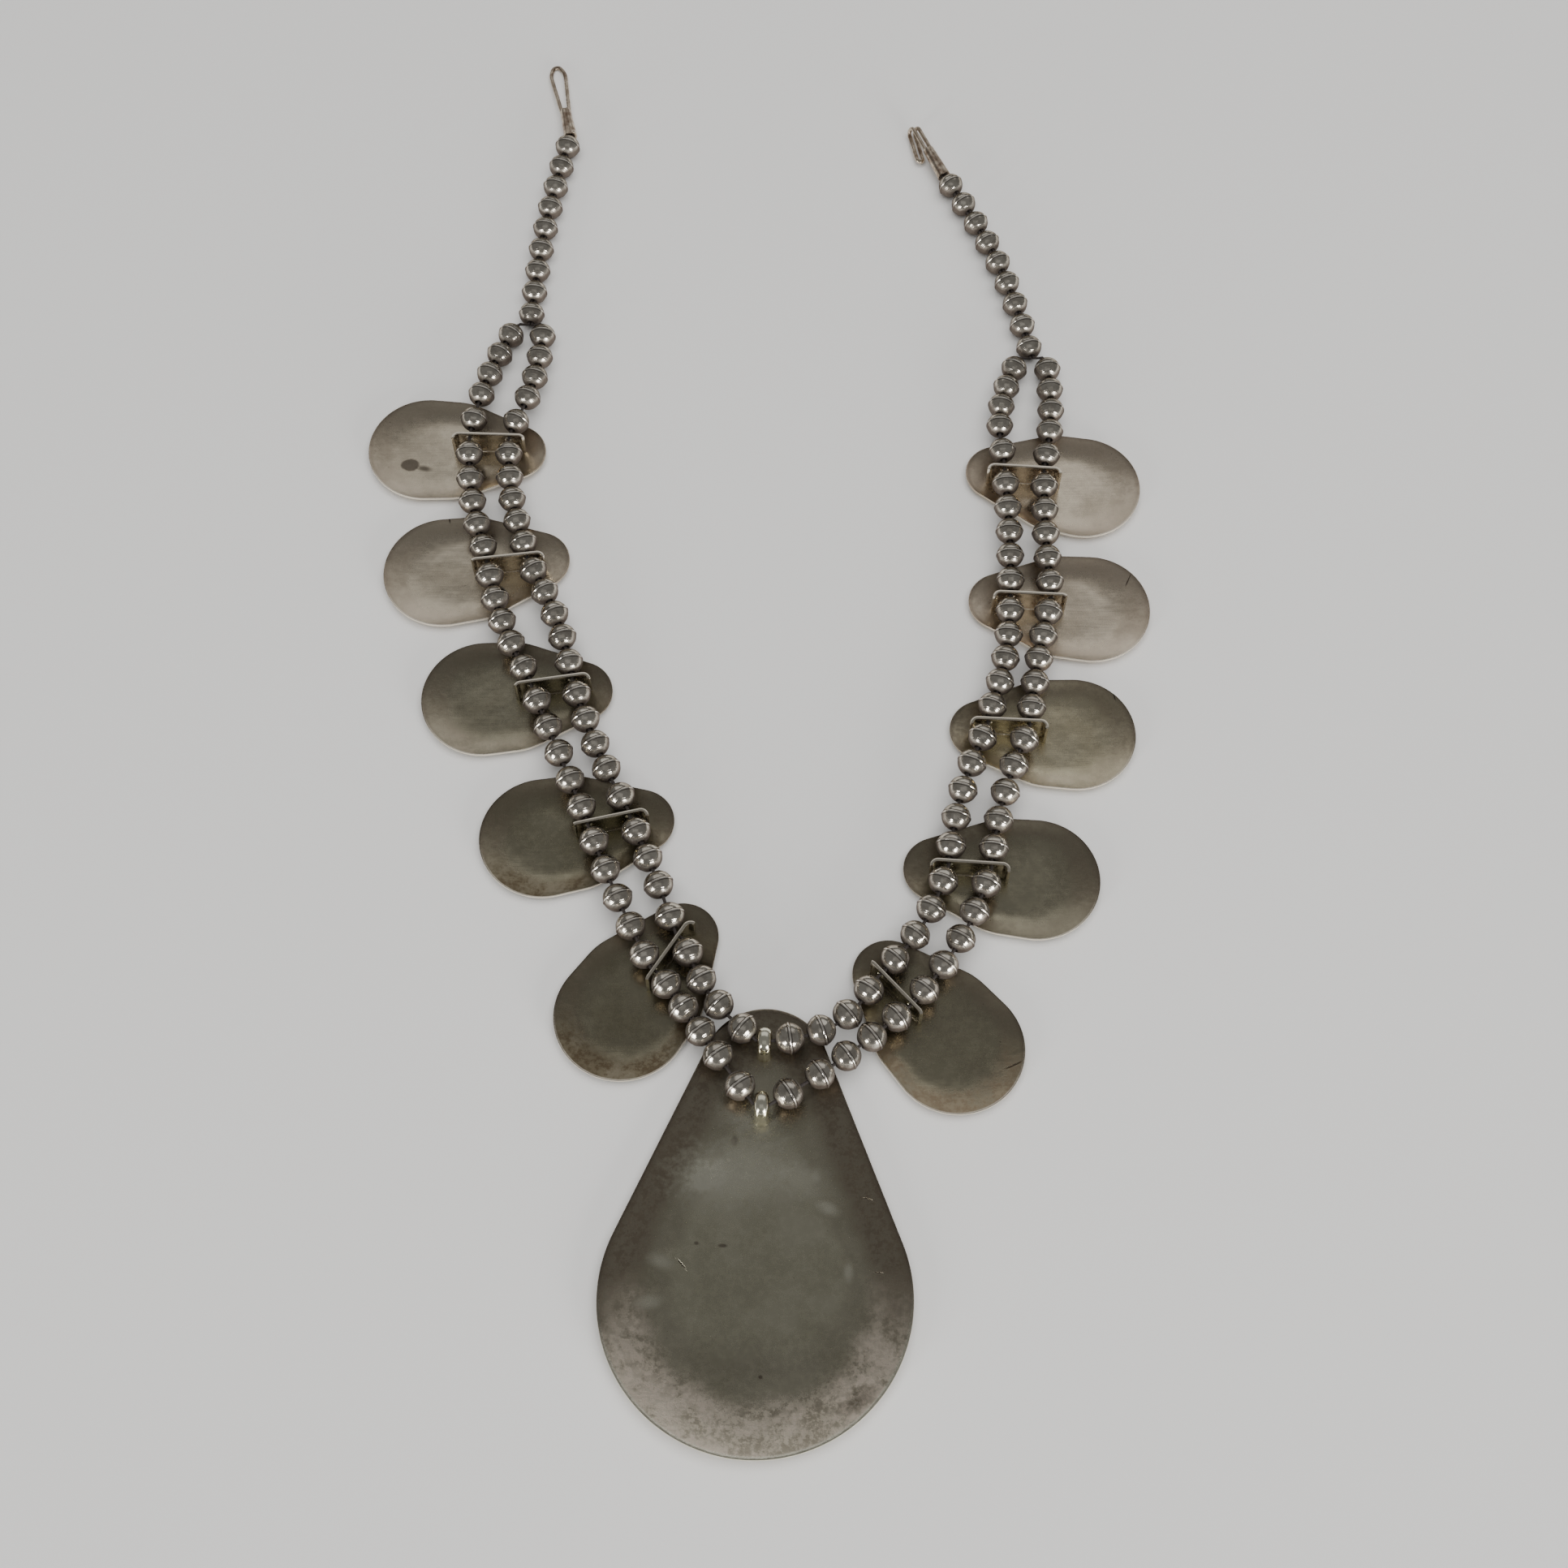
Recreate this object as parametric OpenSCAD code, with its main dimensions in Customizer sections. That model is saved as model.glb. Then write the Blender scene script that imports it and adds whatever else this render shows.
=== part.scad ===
// Double-strand necklace of hollow silver beads with teardrop drops, unclasped and lying back up.
// Millimetres. +Z is up, the surface it lies on is z = 0, and +Y runs from the main drop to the clasp.

/* [Beads] */
// Diameter of the beads beside the main drop
bead_d = 7.5; // [7:0.1:7.7]
// Diameter of the smallest beads, next to the clasp
end_bead_d = 6.9; // [6.6:0.1:7.3]
// Length of a bead along its thread, as a share of its diameter
bead_l_share = 0.94; // [0.9:0.01:0.98]
// Wall of the two domed halves that make a bead
bead_wall = 0.5; // [0.3:0.05:0.8]
// Hole through a bead, wide enough for two threads
bead_hole_d = 2; // [1.9:0.1:2.6]
// Height of the soldered seam round the middle of a bead
seam_rise = 0.12; // [0.05:0.01:0.2]
// Width of that seam
seam_w = 0.4; // [0.2:0.1:0.8]
// Least clear space between two beads on a strand
bead_gap = 0.15; // [0.1:0.05:0.3]

/* [Threads] */
// Diameter of each of the two threads
thread_d = 0.8; // [0.6:0.05:0.85]
// Clear space between the two threads where they share a bead
thread_gap = 0.1; // [0.05:0.01:0.15]

/* [Small drops] */
// Length of a small drop, tip to wide end
drop_l = 48; // [44:0.5:50]
// Width of a small drop
drop_w = 31.6; // [27:0.2:33]
// Radius of a small drop's tip
drop_tip_r = 8.5; // [7:0.5:9.5]
// Sheet that a small drop is cut from
drop_sheet = 0.9; // [0.7:0.1:1.2]
// Height that a small drop's rim stands above its lowest point
drop_dish = 1.8; // [1:0.1:2.4]

/* [Brackets] */
// Length of the bracket on a small drop's back
bracket_l = 19.5; // [18:0.5:21]
// Sheet that a bracket is cut from
bracket_sheet = 0.8; // [0.6:0.1:1]
// Radius of the bend at each end of a bracket
bracket_bend_r = 1.6; // [1.2:0.1:2]
// Hole for each strand
bracket_hole_d = 2.2; // [1.8:0.1:2.6]
// Metal above a hole
bracket_edge = 0.8; // [0.6:0.1:1.4]
// Distance between the two strands at a bracket
strand_spacing = 10.4; // [9.8:0.1:11]
// Clear space between a bracket's sheet and the beads beside it
bracket_clear = 0.5; // [0.35:0.05:0.6]

/* [Main drop] */
// Length of the main drop
main_l = 105; // [95:1:110]
// Width of the main drop
main_w = 71.6; // [66:0.2:74]
// Radius of its tip
main_tip_r = 15; // [13:0.5:17]
// Sheet that it is cut from
main_sheet = 1; // [0.8:0.1:1.4]
// Height that its rim stands above its lowest point
main_dish = 3.2; // [2:0.1:4]
// Distance from the tip to the loop of the inner strand
inner_loop_s = 9.5; // [8.5:0.5:11]
// Distance from the tip to the loop of the outer strand
outer_loop_s = 25; // [23:0.5:28]

/* [Loops] */
// Inside radius of a loop's arch
loop_r = 2.2; // [1.8:0.1:2.6]
// Thickness of a loop's wire
loop_t = 1.2; // [0.9:0.1:1.5]
// Width of a loop's wire
loop_w = 3.3; // [2.6:0.1:3.8]
// Radius of the solder foot under each leg
foot_r = 2; // [1.8:0.1:2.6]

/* [Clasp] */
// Wire of the eye and the hook
clasp_wire_d = 1.15; // [1:0.05:1.3]
// Length of the eye with its shank
eye_l = 29; // [27:0.5:31]
// Outside width of the eye
eye_w = 5.2; // [5:0.1:6]
// Length of the hook with its shank
hook_l = 20; // [18:0.5:23]
// Inside width of the hook's bend, across which the eye's wire goes
hook_gap = 1.8; // [1.5:0.1:2]
// Length that the hook turns back
hook_return = 8.5; // [7.5:0.5:9.5]
// Length of the wrapped shank of the eye and of the hook
shank_l = 10.5; // [9.5:0.5:11]
// Width of a shank at its bead
shank_w = 3.7; // [3.6:0.1:4.2]
// Thickness of a shank
shank_t = 3; // [2.8:0.1:3.4]

/* [Hidden] */

// Sides of the necklace as it lies, and the two strands
LEFT = 1;
RIGHT = -1;
OUTER = 0;
INNER = 1;

// Columns of a drop's row: its tip, the turn of its axis from tip to wide end, and the share of the
// drop's named size
X = 0;
Y = 1;
TURN = 2;
SIZE = 3;
left_drops = [
    [-55.3, 63.7, 178, 0.985], [-47.8, 32, 188.5, 1.01], [-35.4, -6.8, 185, 1.01],
    [-19.2, -41.8, 191, 1.01], [-11.5, -66.8, 235, 1.035]
];
right_drops = [
    [56.1, 59.1, -11.5, 0.965], [55.4, 19.3, -5.5, 0.975], [49.4, -18, -3, 0.975],
    [37, -55.4, -6.5, 1.005], [27.3, -76.9, -50, 1.03]
];

// Columns of a bracket's row: its middle, its turn, and how far it is bent round at the drop's tip and
// at its wide end
TIP_BEND = 3;
WIDE_BEND = 4;
left_brackets = [
    [-70, 65.5, 178, 60, 90], [-63.5, 28.5, 187, 80, 45], [-50.5, -7, 189, 90, 60],
    [-35, -45, 193, 100, 30], [-20, -80, 237, 90, 30]
];
right_brackets = [
    [71, 55.5, -4, 90, 90], [71, 17.5, -3, 90, 50], [64, -18.5, -3, 90, 110],
    [53, -57, -4, 90, 110], [34.5, -89, -48, 30, 45]
];

// Columns of a stretch's row, from the split to the main drop: how far the middle of the outer and of the
// inner strand swings outwards, as shares of the strand spacing, and where the spare room of each lies,
// from -1, all at the clasp's end of the stretch, over 0, even, to 1, all at the main drop's end
left_stretches = [
    [0.15, -0.2, 0.5, 0.5], [0.15, 0.15, -0.5, -1], [0.15, -0.15, 1, 0.5],
    [0, 0.1, 0, 0.5], [0.05, -0.05, 0, 0.5], [0, 0.25, 1, 0.4]
];
right_stretches = [
    [0.15, -0.3, 0.5, 1], [-0.05, 0.05, 0, 0], [-0.05, 0.15, 1, 1],
    [-0.15, -0.15, 0, 0], [0.2, 0.2, 0, 0], [0.1, 0.45, 0.5, -0.5]
];
// The same for the single strand between the split and the clasp
left_end_bow = 0.15;
right_end_bow = 0.3;

// Where the single strand starts at the clasp, with the turn of the eye and of the hook, and where it splits
eye_place = [-52.7, 168.9, 101];
hook_place = [53, 154.8, 114];
left_split = [-61.2, 104];
right_split = [75, 93];

// Tip of the main drop and the turn of its axis
main_place = [4.2, -92.3, -92.3];
// How far the loops sit beside that axis
loop_aside = -0.5;

// Named shares of the drops' forms
drop_shoulder_s = 0.53;
drop_shoulder_w = 0.975;
drop_low_s = 0.5;
drop_tip_lift = 0.8;
main_low_s = 0.56;
main_tip_lift = 0.4;
dish_power = 2.25;
flat_share = 0.5;
plate_rings = [1, 0.93, 0.84, 0.72, flat_share];
drop_sides = 36;
main_sides = 56;
base_points = 7;

// Clearances and small allowances
shank_tip_wrap = 0.7;
drop_clear = 0.25;
bead_side_gap = 0.35;
loop_clear = 0.3;
branch_turn_share = 0.75;
// Share of a stretch over which its strand climbs, so that it lies level over the drop's rim
climb_share = 0.85;
thread_sides = 8;
wire_sides = 12;
wire_steps = 8;
curve_steps = 48;
overrun = 1;

// Heights of the strand: over the drops, and at the clasp, where its beads lie on the surface
strand_z = drop_dish + drop_sheet + bead_d / 2 + seam_rise + drop_clear;
end_z = end_bead_d / 2 + seam_rise;
bracket_top = strand_z + bracket_hole_d / 2 + bracket_edge;
thread_offset = (thread_d + thread_gap) / 2;
loop_z = strand_z - loop_r / 2;
bracket_gap = bracket_sheet + 2 * bracket_clear;
bend_reach = 2 * (bracket_bend_r + bracket_sheet);
loop_gap = loop_w + 2 * loop_clear;
stretches = 6;

// Plain geometry

function unit(v) = v / norm(v);
function heading(turn) = [cos(turn), sin(turn), 0];
function left_of(v) = [-v.y, v.x, 0];
function drop_row(side, number) = (side == LEFT ? left_drops : right_drops)[number - 1];
function bracket_row(side, number) = (side == LEFT ? left_brackets : right_brackets)[number - 1];
function stretch_row(side, number) = (side == LEFT ? left_stretches : right_stretches)[number - 1];
function end_bow(side) = side == LEFT ? left_end_bow : right_end_bow;
function clasp_place(side) = side == LEFT ? eye_place : hook_place;
function split_place(side) = side == LEFT ? left_split : right_split;
function flat(lists) = [for (l = lists) each l];
function backwards(list) = [for (i = [len(list) - 1:-1:0]) list[i]];

// Round tube along a path. Its rings keep one side turned the same way, starting from up.

function way_at(path, i) = unit(path[min(i + 1, len(path) - 1)] - path[max(i - 1, 0)]);
function carried(path, up, i = 0) =
    i == len(path) ? []
    : let (way = way_at(path, i), here = unit(up - way * (up * way)))
      concat([here], carried(path, here, i + 1));

module tube(path, r, sides, up) {
    ups = carried(path, up);
    last = len(path) - 1;
    points = [for (i = [0:last])
        let (across = cross(way_at(path, i), ups[i]))
        for (k = [0:sides - 1])
            path[i] + (across * cos(360 * k / sides) + ups[i] * sin(360 * k / sides)) * r];
    wall = [for (i = [0:last - 1]) for (k = [0:sides - 1])
        let (m = (k + 1) % sides, a = i * sides, b = a + sides)
        each [[a + k, b + m, b + k], [a + k, a + m, b + m]]];
    first_cap = [for (k = [sides - 1:-1:0]) k];
    last_cap = [for (k = [0:sides - 1]) last * sides + k];
    polyhedron(points, concat(wall, [first_cap, last_cap]));
}

// Outline of a drop: the tight band round a row of circles [centre, radius] on its axis

function reach(c, a) = c[0] * cos(a) + c[1];
function furthest(circles, a, i = 0) =
    i == len(circles) - 1 ? circles[i]
    : let (rest = furthest(circles, a, i + 1))
      reach(circles[i], a) >= reach(rest, a) ? circles[i] : rest;
function edge_point(circles, a) =
    let (c = furthest(circles, a)) [c[0] + c[1] * cos(a), c[1] * sin(a)];

function small_circles(size) = [
    [drop_tip_r, drop_tip_r],
    [drop_shoulder_s * drop_l, drop_shoulder_w * drop_w / 2],
    [drop_l - drop_w / 2, drop_w / 2]
] * size;
main_circles = [[main_tip_r, main_tip_r], [main_l - main_w / 2, main_w / 2]];

// A drop's form: [outline circles, length, place of its lowest point, dish, share of it at the tip, sheet]

function small_form(size) = [
    small_circles(size), drop_l * size, drop_low_s * drop_l * size, drop_dish, drop_tip_lift, drop_sheet
];
main_form = [main_circles, main_l, main_low_s * main_l, main_dish, main_tip_lift, main_sheet];

// Height of the underside at a share of the way from the lowest point to the rim, over a flat middle
function dish_z(form, share, s) =
    let (rise = max(share - flat_share, 0) / (1 - flat_share))
    form[3] * pow(rise, dish_power) * (form[4] + (1 - form[4]) * s / form[1]);
// Height of the back on the drop's axis, s from its tip
function back_z(form, s) =
    let (low = form[2], share = s < low ? (low - s) / low : (s - low) / (form[1] - low))
    dish_z(form, share, s) + form[5];

module plate(form, sides) {
    low = [form[2], 0];
    rings = [
        for (share = plate_rings)
        [for (k = [0:sides - 1]) low + (edge_point(form[0], 360 * k / sides) - low) * share]
    ];
    function level(lift) = [for (j = [0:len(rings) - 1]) for (p = rings[j])
        [p.x, p.y, dish_z(form, plate_rings[j], p.x) + lift]];
    count = len(rings) * sides;
    function back_faces(first) = concat(
        [for (j = [0:len(rings) - 2]) for (k = [0:sides - 1])
            let (m = (k + 1) % sides, a = first + j * sides, b = a + sides)
            each [[a + k, b + k, b + m], [a + k, b + m, a + m]]],
        [[for (k = [sides - 1:-1:0]) first + count - sides + k]]
    );
    under = count;
    rim = [for (k = [0:sides - 1]) let (m = (k + 1) % sides)
        each [[under + k, k, m], [under + k, m, under + m]]];
    polyhedron(
        concat(level(form[5]), level(0)),
        concat(back_faces(0), [for (f = back_faces(under)) backwards(f)], rim)
    );
}

// Bracket with its middle at the origin and its ends bent towards +Y. The axis distance from the drop's
// tip is start at its middle and grows by rate along it.

module bracket(form, start, rate, tip_bend, wide_bend) {
    straight = bracket_l / 2 - bracket_bend_r - bracket_sheet / 2;
    function foot(s) = back_z(form, start + rate * s) - form[5] / 2;
    difference() {
        intersection() {
            linear_extrude(bracket_top) bracket_plan(straight, tip_bend, wide_bend);
            translate([0, bend_reach, 0]) rotate([90, 0, 0])
                linear_extrude(2 * bend_reach) polygon(concat(
                    [[-bracket_l, bracket_top + overrun], [bracket_l, bracket_top + overrun]],
                    [[bracket_l, foot(bracket_l / 2)]],
                    [for (i = [base_points - 1:-1:0])
                        let (s = bracket_l / 2 * (2 * i / (base_points - 1) - 1)) [s, foot(s)]],
                    [[-bracket_l, foot(-bracket_l / 2)]]
                ));
        }
        for (end = [-1, 1])
            translate([end * strand_spacing / 2, 0, strand_z]) rotate([90, 0, 0])
                cylinder(
                    d = bracket_hole_d, h = bracket_sheet + 2 * overrun, center = true, $fn = curve_steps
                );
    }
}

// The bent strip seen from above
module bracket_plan(straight, tip_bend, wide_bend) {
    square([2 * straight, bracket_sheet], center = true);
    translate([straight, 0]) bend_plan(wide_bend);
    mirror([1, 0]) translate([straight, 0]) bend_plan(tip_bend);
}

// One end of it, bent round a point above its start. A wedge leaves the bent share of the ring.
module bend_plan(bend) {
    translate([0, bracket_bend_r]) difference() {
        circle(r = bracket_bend_r + bracket_sheet / 2, $fn = curve_steps);
        circle(r = bracket_bend_r - bracket_sheet / 2, $fn = curve_steps);
        polygon([
            [0, 0], bend_reach * [sin(bend), -cos(bend)], bend_reach * [sin(bend + 45), -cos(bend + 45)],
            [0, bend_reach], [-bend_reach, bend_reach], [-bend_reach, -bend_reach], [0, -bend_reach]
        ]);
    }
}

module small_drop(side, number) {
    drop = drop_row(side, number);
    strip = bracket_row(side, number);
    form = small_form(drop[SIZE]);
    start = ([strip[X], strip[Y], 0] - [drop[X], drop[Y], 0]) * heading(drop[TURN]);
    rate = heading(strip[TURN]) * heading(drop[TURN]);
    color("silver") {
        translate([drop[X], drop[Y], 0]) rotate(drop[TURN]) plate(form, drop_sides);
        translate([strip[X], strip[Y], 0]) rotate(strip[TURN]) mirror([0, side == LEFT ? 0 : 1, 0])
            bracket(form, start, rate, strip[TIP_BEND], strip[WIDE_BEND]);
    }
}

// Main drop and its two loops

module loop_profile() {
    polygon([
        [0, -loop_w / 2], [loop_t / 2, -loop_w / 2], [loop_t, -loop_w / 4],
        [loop_t, loop_w / 4], [loop_t / 2, loop_w / 2], [0, loop_w / 2]
    ]);
}

module loop(s) {
    translate([s, loop_aside, loop_z]) {
        rotate([90, 0, 0]) rotate_extrude(angle = 180, $fn = curve_steps)
            translate([loop_r, 0]) loop_profile();
        for (end = [-1, 1]) {
            leg_s = s + end * (loop_r + loop_t / 2);
            leg = loop_z - back_z(main_form, leg_s) + main_sheet / 2;
            translate([end * loop_r, 0, -leg]) mirror([end > 0 ? 0 : 1, 0, 0])
                linear_extrude(leg) loop_profile();
            translate([end * (loop_r + loop_t / 2), 0, -leg])
                cylinder(r = foot_r, h = main_sheet, $fn = curve_steps);
        }
    }
}

module main_drop() {
    color("silver") translate([main_place[X], main_place[Y], 0]) rotate(main_place[TURN]) {
        plate(main_form, main_sides);
        loop(inner_loop_s);
        loop(outer_loop_s);
    }
}

// Route of the strands. Each stretch ends in the gap beside a bracket, a loop, the split or the clasp.

function bead_l(d) = d * bead_l_share;
function stretch_bead_d(number) = end_bead_d + (bead_d - end_bead_d) * number / stretches;

// The thread's way through a bracket's hole, from clasp to main drop
function hole_way(side, number) = left_of(heading(bracket_row(side, number)[TURN])) * side;
function hole_point(side, strand, number) =
    let (strip = bracket_row(side, number), way = strand == OUTER ? 1 : -1)
    [strip[X], strip[Y], strand_z] + heading(strip[TURN]) * way * strand_spacing / 2;
function loop_point(strand) =
    let (axis = heading(main_place[TURN]))
    [main_place[X], main_place[Y], strand_z]
    + axis * (strand == OUTER ? outer_loop_s : inner_loop_s) + left_of(axis) * loop_aside;

function clasp_point(side) = [clasp_place(side)[X], clasp_place(side)[Y], end_z];
function split_point(side) = [split_place(side)[X], split_place(side)[Y], end_z];
// Where each strand's first own bead starts, just past the split
function branch_point(side, strand) =
    let (d = stretch_bead_d(1), out = (strand == OUTER ? -side : side) * (d + bead_side_gap) / 2)
    split_point(side) + [out, -bead_side_gap, (d - end_bead_d) / 2];
// The thread's turn between the single strand and that bead
function branch_turn(side, strand) =
    let (a = split_point(side), b = branch_point(side, strand))
    [a.x + (b.x - a.x) * branch_turn_share, a.y + thread_d / 4, b.z];

// Start and end of stretch number 1 to 6 of a strand
function stretch_start(side, strand, number) =
    number == 1 ? branch_point(side, strand)
    : hole_point(side, strand, number - 1) + hole_way(side, number - 1) * bracket_gap / 2;
function stretch_end(side, strand, number) =
    number == stretches ? loop_point(strand) - left_of(heading(main_place[TURN])) * side * loop_gap / 2
    : hole_point(side, strand, number) - hole_way(side, number) * bracket_gap / 2;

// Points between the beads of a stretch: as many beads as fit, and the spare room where lean puts it
function stretch_points(a, b, bow, lean, d, side) =
    let (
        length = norm(b - a),
        step = bead_l(d) + bead_gap,
        count = floor(length / step),
        spare = length - count * step,
        way = unit(b - a),
        out = left_of(way) * -side
    )
    [for (k = [0:count])
        let (
            share = k == 0 ? 0 : k == count ? 1 : k / count * (1 - abs(lean)) + max(-lean, 0),
            along = k * step + spare * share,
            flat_way = [way.x, way.y, 0] * along,
            climb = [0, 0, (b.z - a.z) * min(along / length / climb_share, 1)]
        )
        a + flat_way + climb + out * bow * sin(180 * along / length)];

function single_points(side) = stretch_points(
    clasp_point(side), split_point(side), end_bow(side) * strand_spacing, 0, end_bead_d, side);
function strand_points(side, strand, number) = stretch_points(
    stretch_start(side, strand, number), stretch_end(side, strand, number),
    stretch_row(side, number)[strand] * strand_spacing, stretch_row(side, number)[strand + 2],
    stretch_bead_d(number), side);

// Beads

// Two domes back to back, each a little less than half a ball, sunk by a wall
module domes(d, wall) {
    r = (d / bead_l_share + bead_l(d)) / 4;
    apart = (d / bead_l_share - bead_l(d)) / 4;
    intersection() {
        translate([0, 0, apart]) sphere(r = r - wall, $fn = curve_steps);
        translate([0, 0, -apart]) sphere(r = r - wall, $fn = curve_steps);
    }
}

module bead(a, b, d) {
    way = unit(b - a);
    translate((a + b) / 2)
        rotate([0, acos(way.z), atan2(way.y, way.x)])
        difference() {
            union() {
                domes(d, 0);
                cylinder(d = d + 2 * seam_rise, h = seam_w, center = true, $fn = curve_steps);
            }
            domes(d, bead_wall);
            cylinder(d = bead_hole_d, h = d + 2 * overrun, center = true, $fn = curve_steps);
        }
}

module string_of_beads(points, d) {
    for (k = [0:len(points) - 2]) bead(points[k], points[k + 1], d);
}

module beads(side, strand) {
    color("gainsboro") {
        if (strand == OUTER) string_of_beads(single_points(side), end_bead_d);
        for (number = [1:stretches])
            string_of_beads(strand_points(side, strand, number), stretch_bead_d(number));
    }
}

// Threads. Both run through the single strand side by side and end inside the clasp's shanks.

function beside(points, off) = [
    for (i = [0:len(points) - 1])
    let (way = unit(points[min(i + 1, len(points) - 1)] - points[max(i - 1, 0)]))
    points[i] + left_of(way) * off
];
function half_thread(side, strand) =
    let (
        off = (strand == OUTER ? -side : side) * thread_offset,
        single = single_points(side),
        start = single[0] + clasp_way(side) * shank_depth
    )
    concat(
        beside(concat([start], single), off),
        [branch_turn(side, strand)],
        flat([for (number = [1:stretches]) strand_points(side, strand, number)])
    );
function thread_path(strand) = concat(half_thread(LEFT, strand), backwards(half_thread(RIGHT, strand)));

module thread(strand) {
    color("dimgray") tube(thread_path(strand), thread_d / 2, thread_sides, [0, 0, 1]);
}

// Clasp, each half in a frame whose x runs from its thread end to its tip

shank_depth = shank_l / 3;
shank_tip_w = 2 * clasp_wire_d + shank_tip_wrap;
wire_r = clasp_wire_d / 2;
root_s = shank_l - 2 * clasp_wire_d;
root_y = shank_tip_w / 2 - wire_r;
// The eye: half its width to the middle of the wire, radius of its end, and its end's distance from its
// widest place, which give the radius of its sides
eye_half = eye_w / 2 - wire_r;
eye_end_r = 1.3;
eye_point = 2.8;
eye_side_r = (pow(eye_point, 2) + pow(eye_half, 2) - pow(eye_end_r, 2)) / 2 / (eye_half - eye_end_r);
eye_wide_s = eye_l - wire_r - eye_end_r - eye_point;
// The hook: radius of its bend, its lean and the splay of the wires that turn back
hook_bend_r = hook_gap / 2 + wire_r;
hook_bend_s = hook_l - hook_bend_r - wire_r;
hook_lean = 20;
hook_splay = 13;
// Downward tilt of each half, so that its far end lies on the surface
rest_clear = 0.02;
eye_tilt = asin((end_z - wire_r - rest_clear) / (eye_l - wire_r));
hook_tilt = asin((end_z - wire_r - rest_clear - 2 * hook_bend_r * cos(hook_lean) - root_y * sin(hook_lean))
    / hook_bend_s);
function clasp_way(side) =
    let (tilt = side == LEFT ? eye_tilt : hook_tilt)
    heading(clasp_place(side)[TURN]) * cos(tilt) - [0, 0, sin(tilt)];

module shank() {
    difference() {
        intersection() {
            rotate([0, 90, 0]) cylinder(d1 = shank_w, d2 = shank_tip_w, h = shank_l, $fn = curve_steps);
            translate([0, -shank_w, -shank_t / 2]) cube([shank_l, 2 * shank_w, shank_t]);
        }
        translate([-overrun, 0, 0]) rotate([0, 90, 0])
            cylinder(d = bead_hole_d, h = shank_depth + 2 * overrun, $fn = curve_steps);
    }
}

// Half of the eye's wire, from the shank to the middle of its end
function eye_half_path() =
    let (
        end_turn = asin(eye_point / (eye_side_r - eye_end_r)),
        run = eye_wide_s - root_s,
        rise = root_y + eye_side_r - eye_half,
        leg_turn = atan2(run, rise) - acos(eye_side_r / norm([run, rise])),
        turns = leg_turn + end_turn
    )
    concat(
        [[root_s, root_y, 0]],
        [for (i = [0:wire_steps]) let (a = 90 + leg_turn - turns * i / wire_steps)
            [eye_wide_s + eye_side_r * cos(a), eye_half - eye_side_r + eye_side_r * sin(a), 0]],
        [for (i = [1:wire_steps]) let (a = (90 - end_turn) * (1 - i / wire_steps))
            [eye_wide_s + eye_point + eye_end_r * cos(a), eye_end_r * sin(a), 0]]
    );
function mirrored_y(path) = [for (p = path) [p.x, -p.y, p.z]];
function without_first(path) = [for (i = [1:len(path) - 1]) path[i]];

module clasp_eye() {
    half = eye_half_path();
    color("silver") translate([eye_place[X], eye_place[Y], end_z]) rotate([0, eye_tilt, eye_place[TURN]]) {
        shank();
        tube(concat(half, without_first(mirrored_y(backwards(half)))), wire_r, wire_sides, [0, 0, 1]);
    }
}

// Half of the hook's wire, from the shank over the bend, on the given side of the hook's middle
function hook_half_path(aside) = concat(
    [[root_s, aside, 0]],
    [for (i = [0:wire_steps]) let (a = 90 - 180 * i / wire_steps)
        [hook_bend_s + hook_bend_r * cos(a), aside, hook_bend_r * (sin(a) - 1)]]
);

module clasp_hook() {
    back = [-cos(hook_splay), sin(hook_splay), 0];
    across = left_of(back) * -root_y;
    fold = [hook_bend_s, 0, -2 * hook_bend_r] + back * hook_return;
    fold_path = [for (i = [0:wire_steps]) let (a = 180 * i / wire_steps)
        fold + across * cos(a) + back * root_y * sin(a)];
    color("silver")
        translate([hook_place[X], hook_place[Y], end_z])
        rotate([0, hook_tilt, hook_place[TURN]]) {
        shank();
        rotate([hook_lean, 0, 0])
            tube(
                concat(hook_half_path(root_y), fold_path, backwards(hook_half_path(-root_y))),
                wire_r, wire_sides, [0, 0, 1]
            );
    }
}

small_drop(LEFT, 1);  // left_drop_1
small_drop(LEFT, 2);  // left_drop_2
small_drop(LEFT, 3);  // left_drop_3
small_drop(LEFT, 4);  // left_drop_4
small_drop(LEFT, 5);  // left_drop_5
small_drop(RIGHT, 1);  // right_drop_1
small_drop(RIGHT, 2);  // right_drop_2
small_drop(RIGHT, 3);  // right_drop_3
small_drop(RIGHT, 4);  // right_drop_4
small_drop(RIGHT, 5);  // right_drop_5
main_drop();
beads(LEFT, OUTER);  // outer_beads_left
beads(RIGHT, OUTER);  // outer_beads_right
beads(LEFT, INNER);  // inner_beads_left
beads(RIGHT, INNER);  // inner_beads_right
thread(OUTER);  // outer_thread
thread(INNER);  // inner_thread
clasp_eye();
clasp_hook();
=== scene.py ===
"""Looks of a two-strand necklace of hollow silver beads with teardrop drops, lying back up and unclasped.

Lengths are millimetres in the sizes and metres in the meshes. +Z is up and +Y runs from the main drop to
the clasp, as in the frame.
"""

import logging
import math
from dataclasses import dataclass
from enum import Enum
from typing import Callable, Sequence

import bmesh
import bpy
import numpy as np
from bmesh.types import BMEdge, BMesh, BMVert
from bpy.types import Material, NodeSocket, Object
from mathutils import Matrix, Vector, noise

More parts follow.
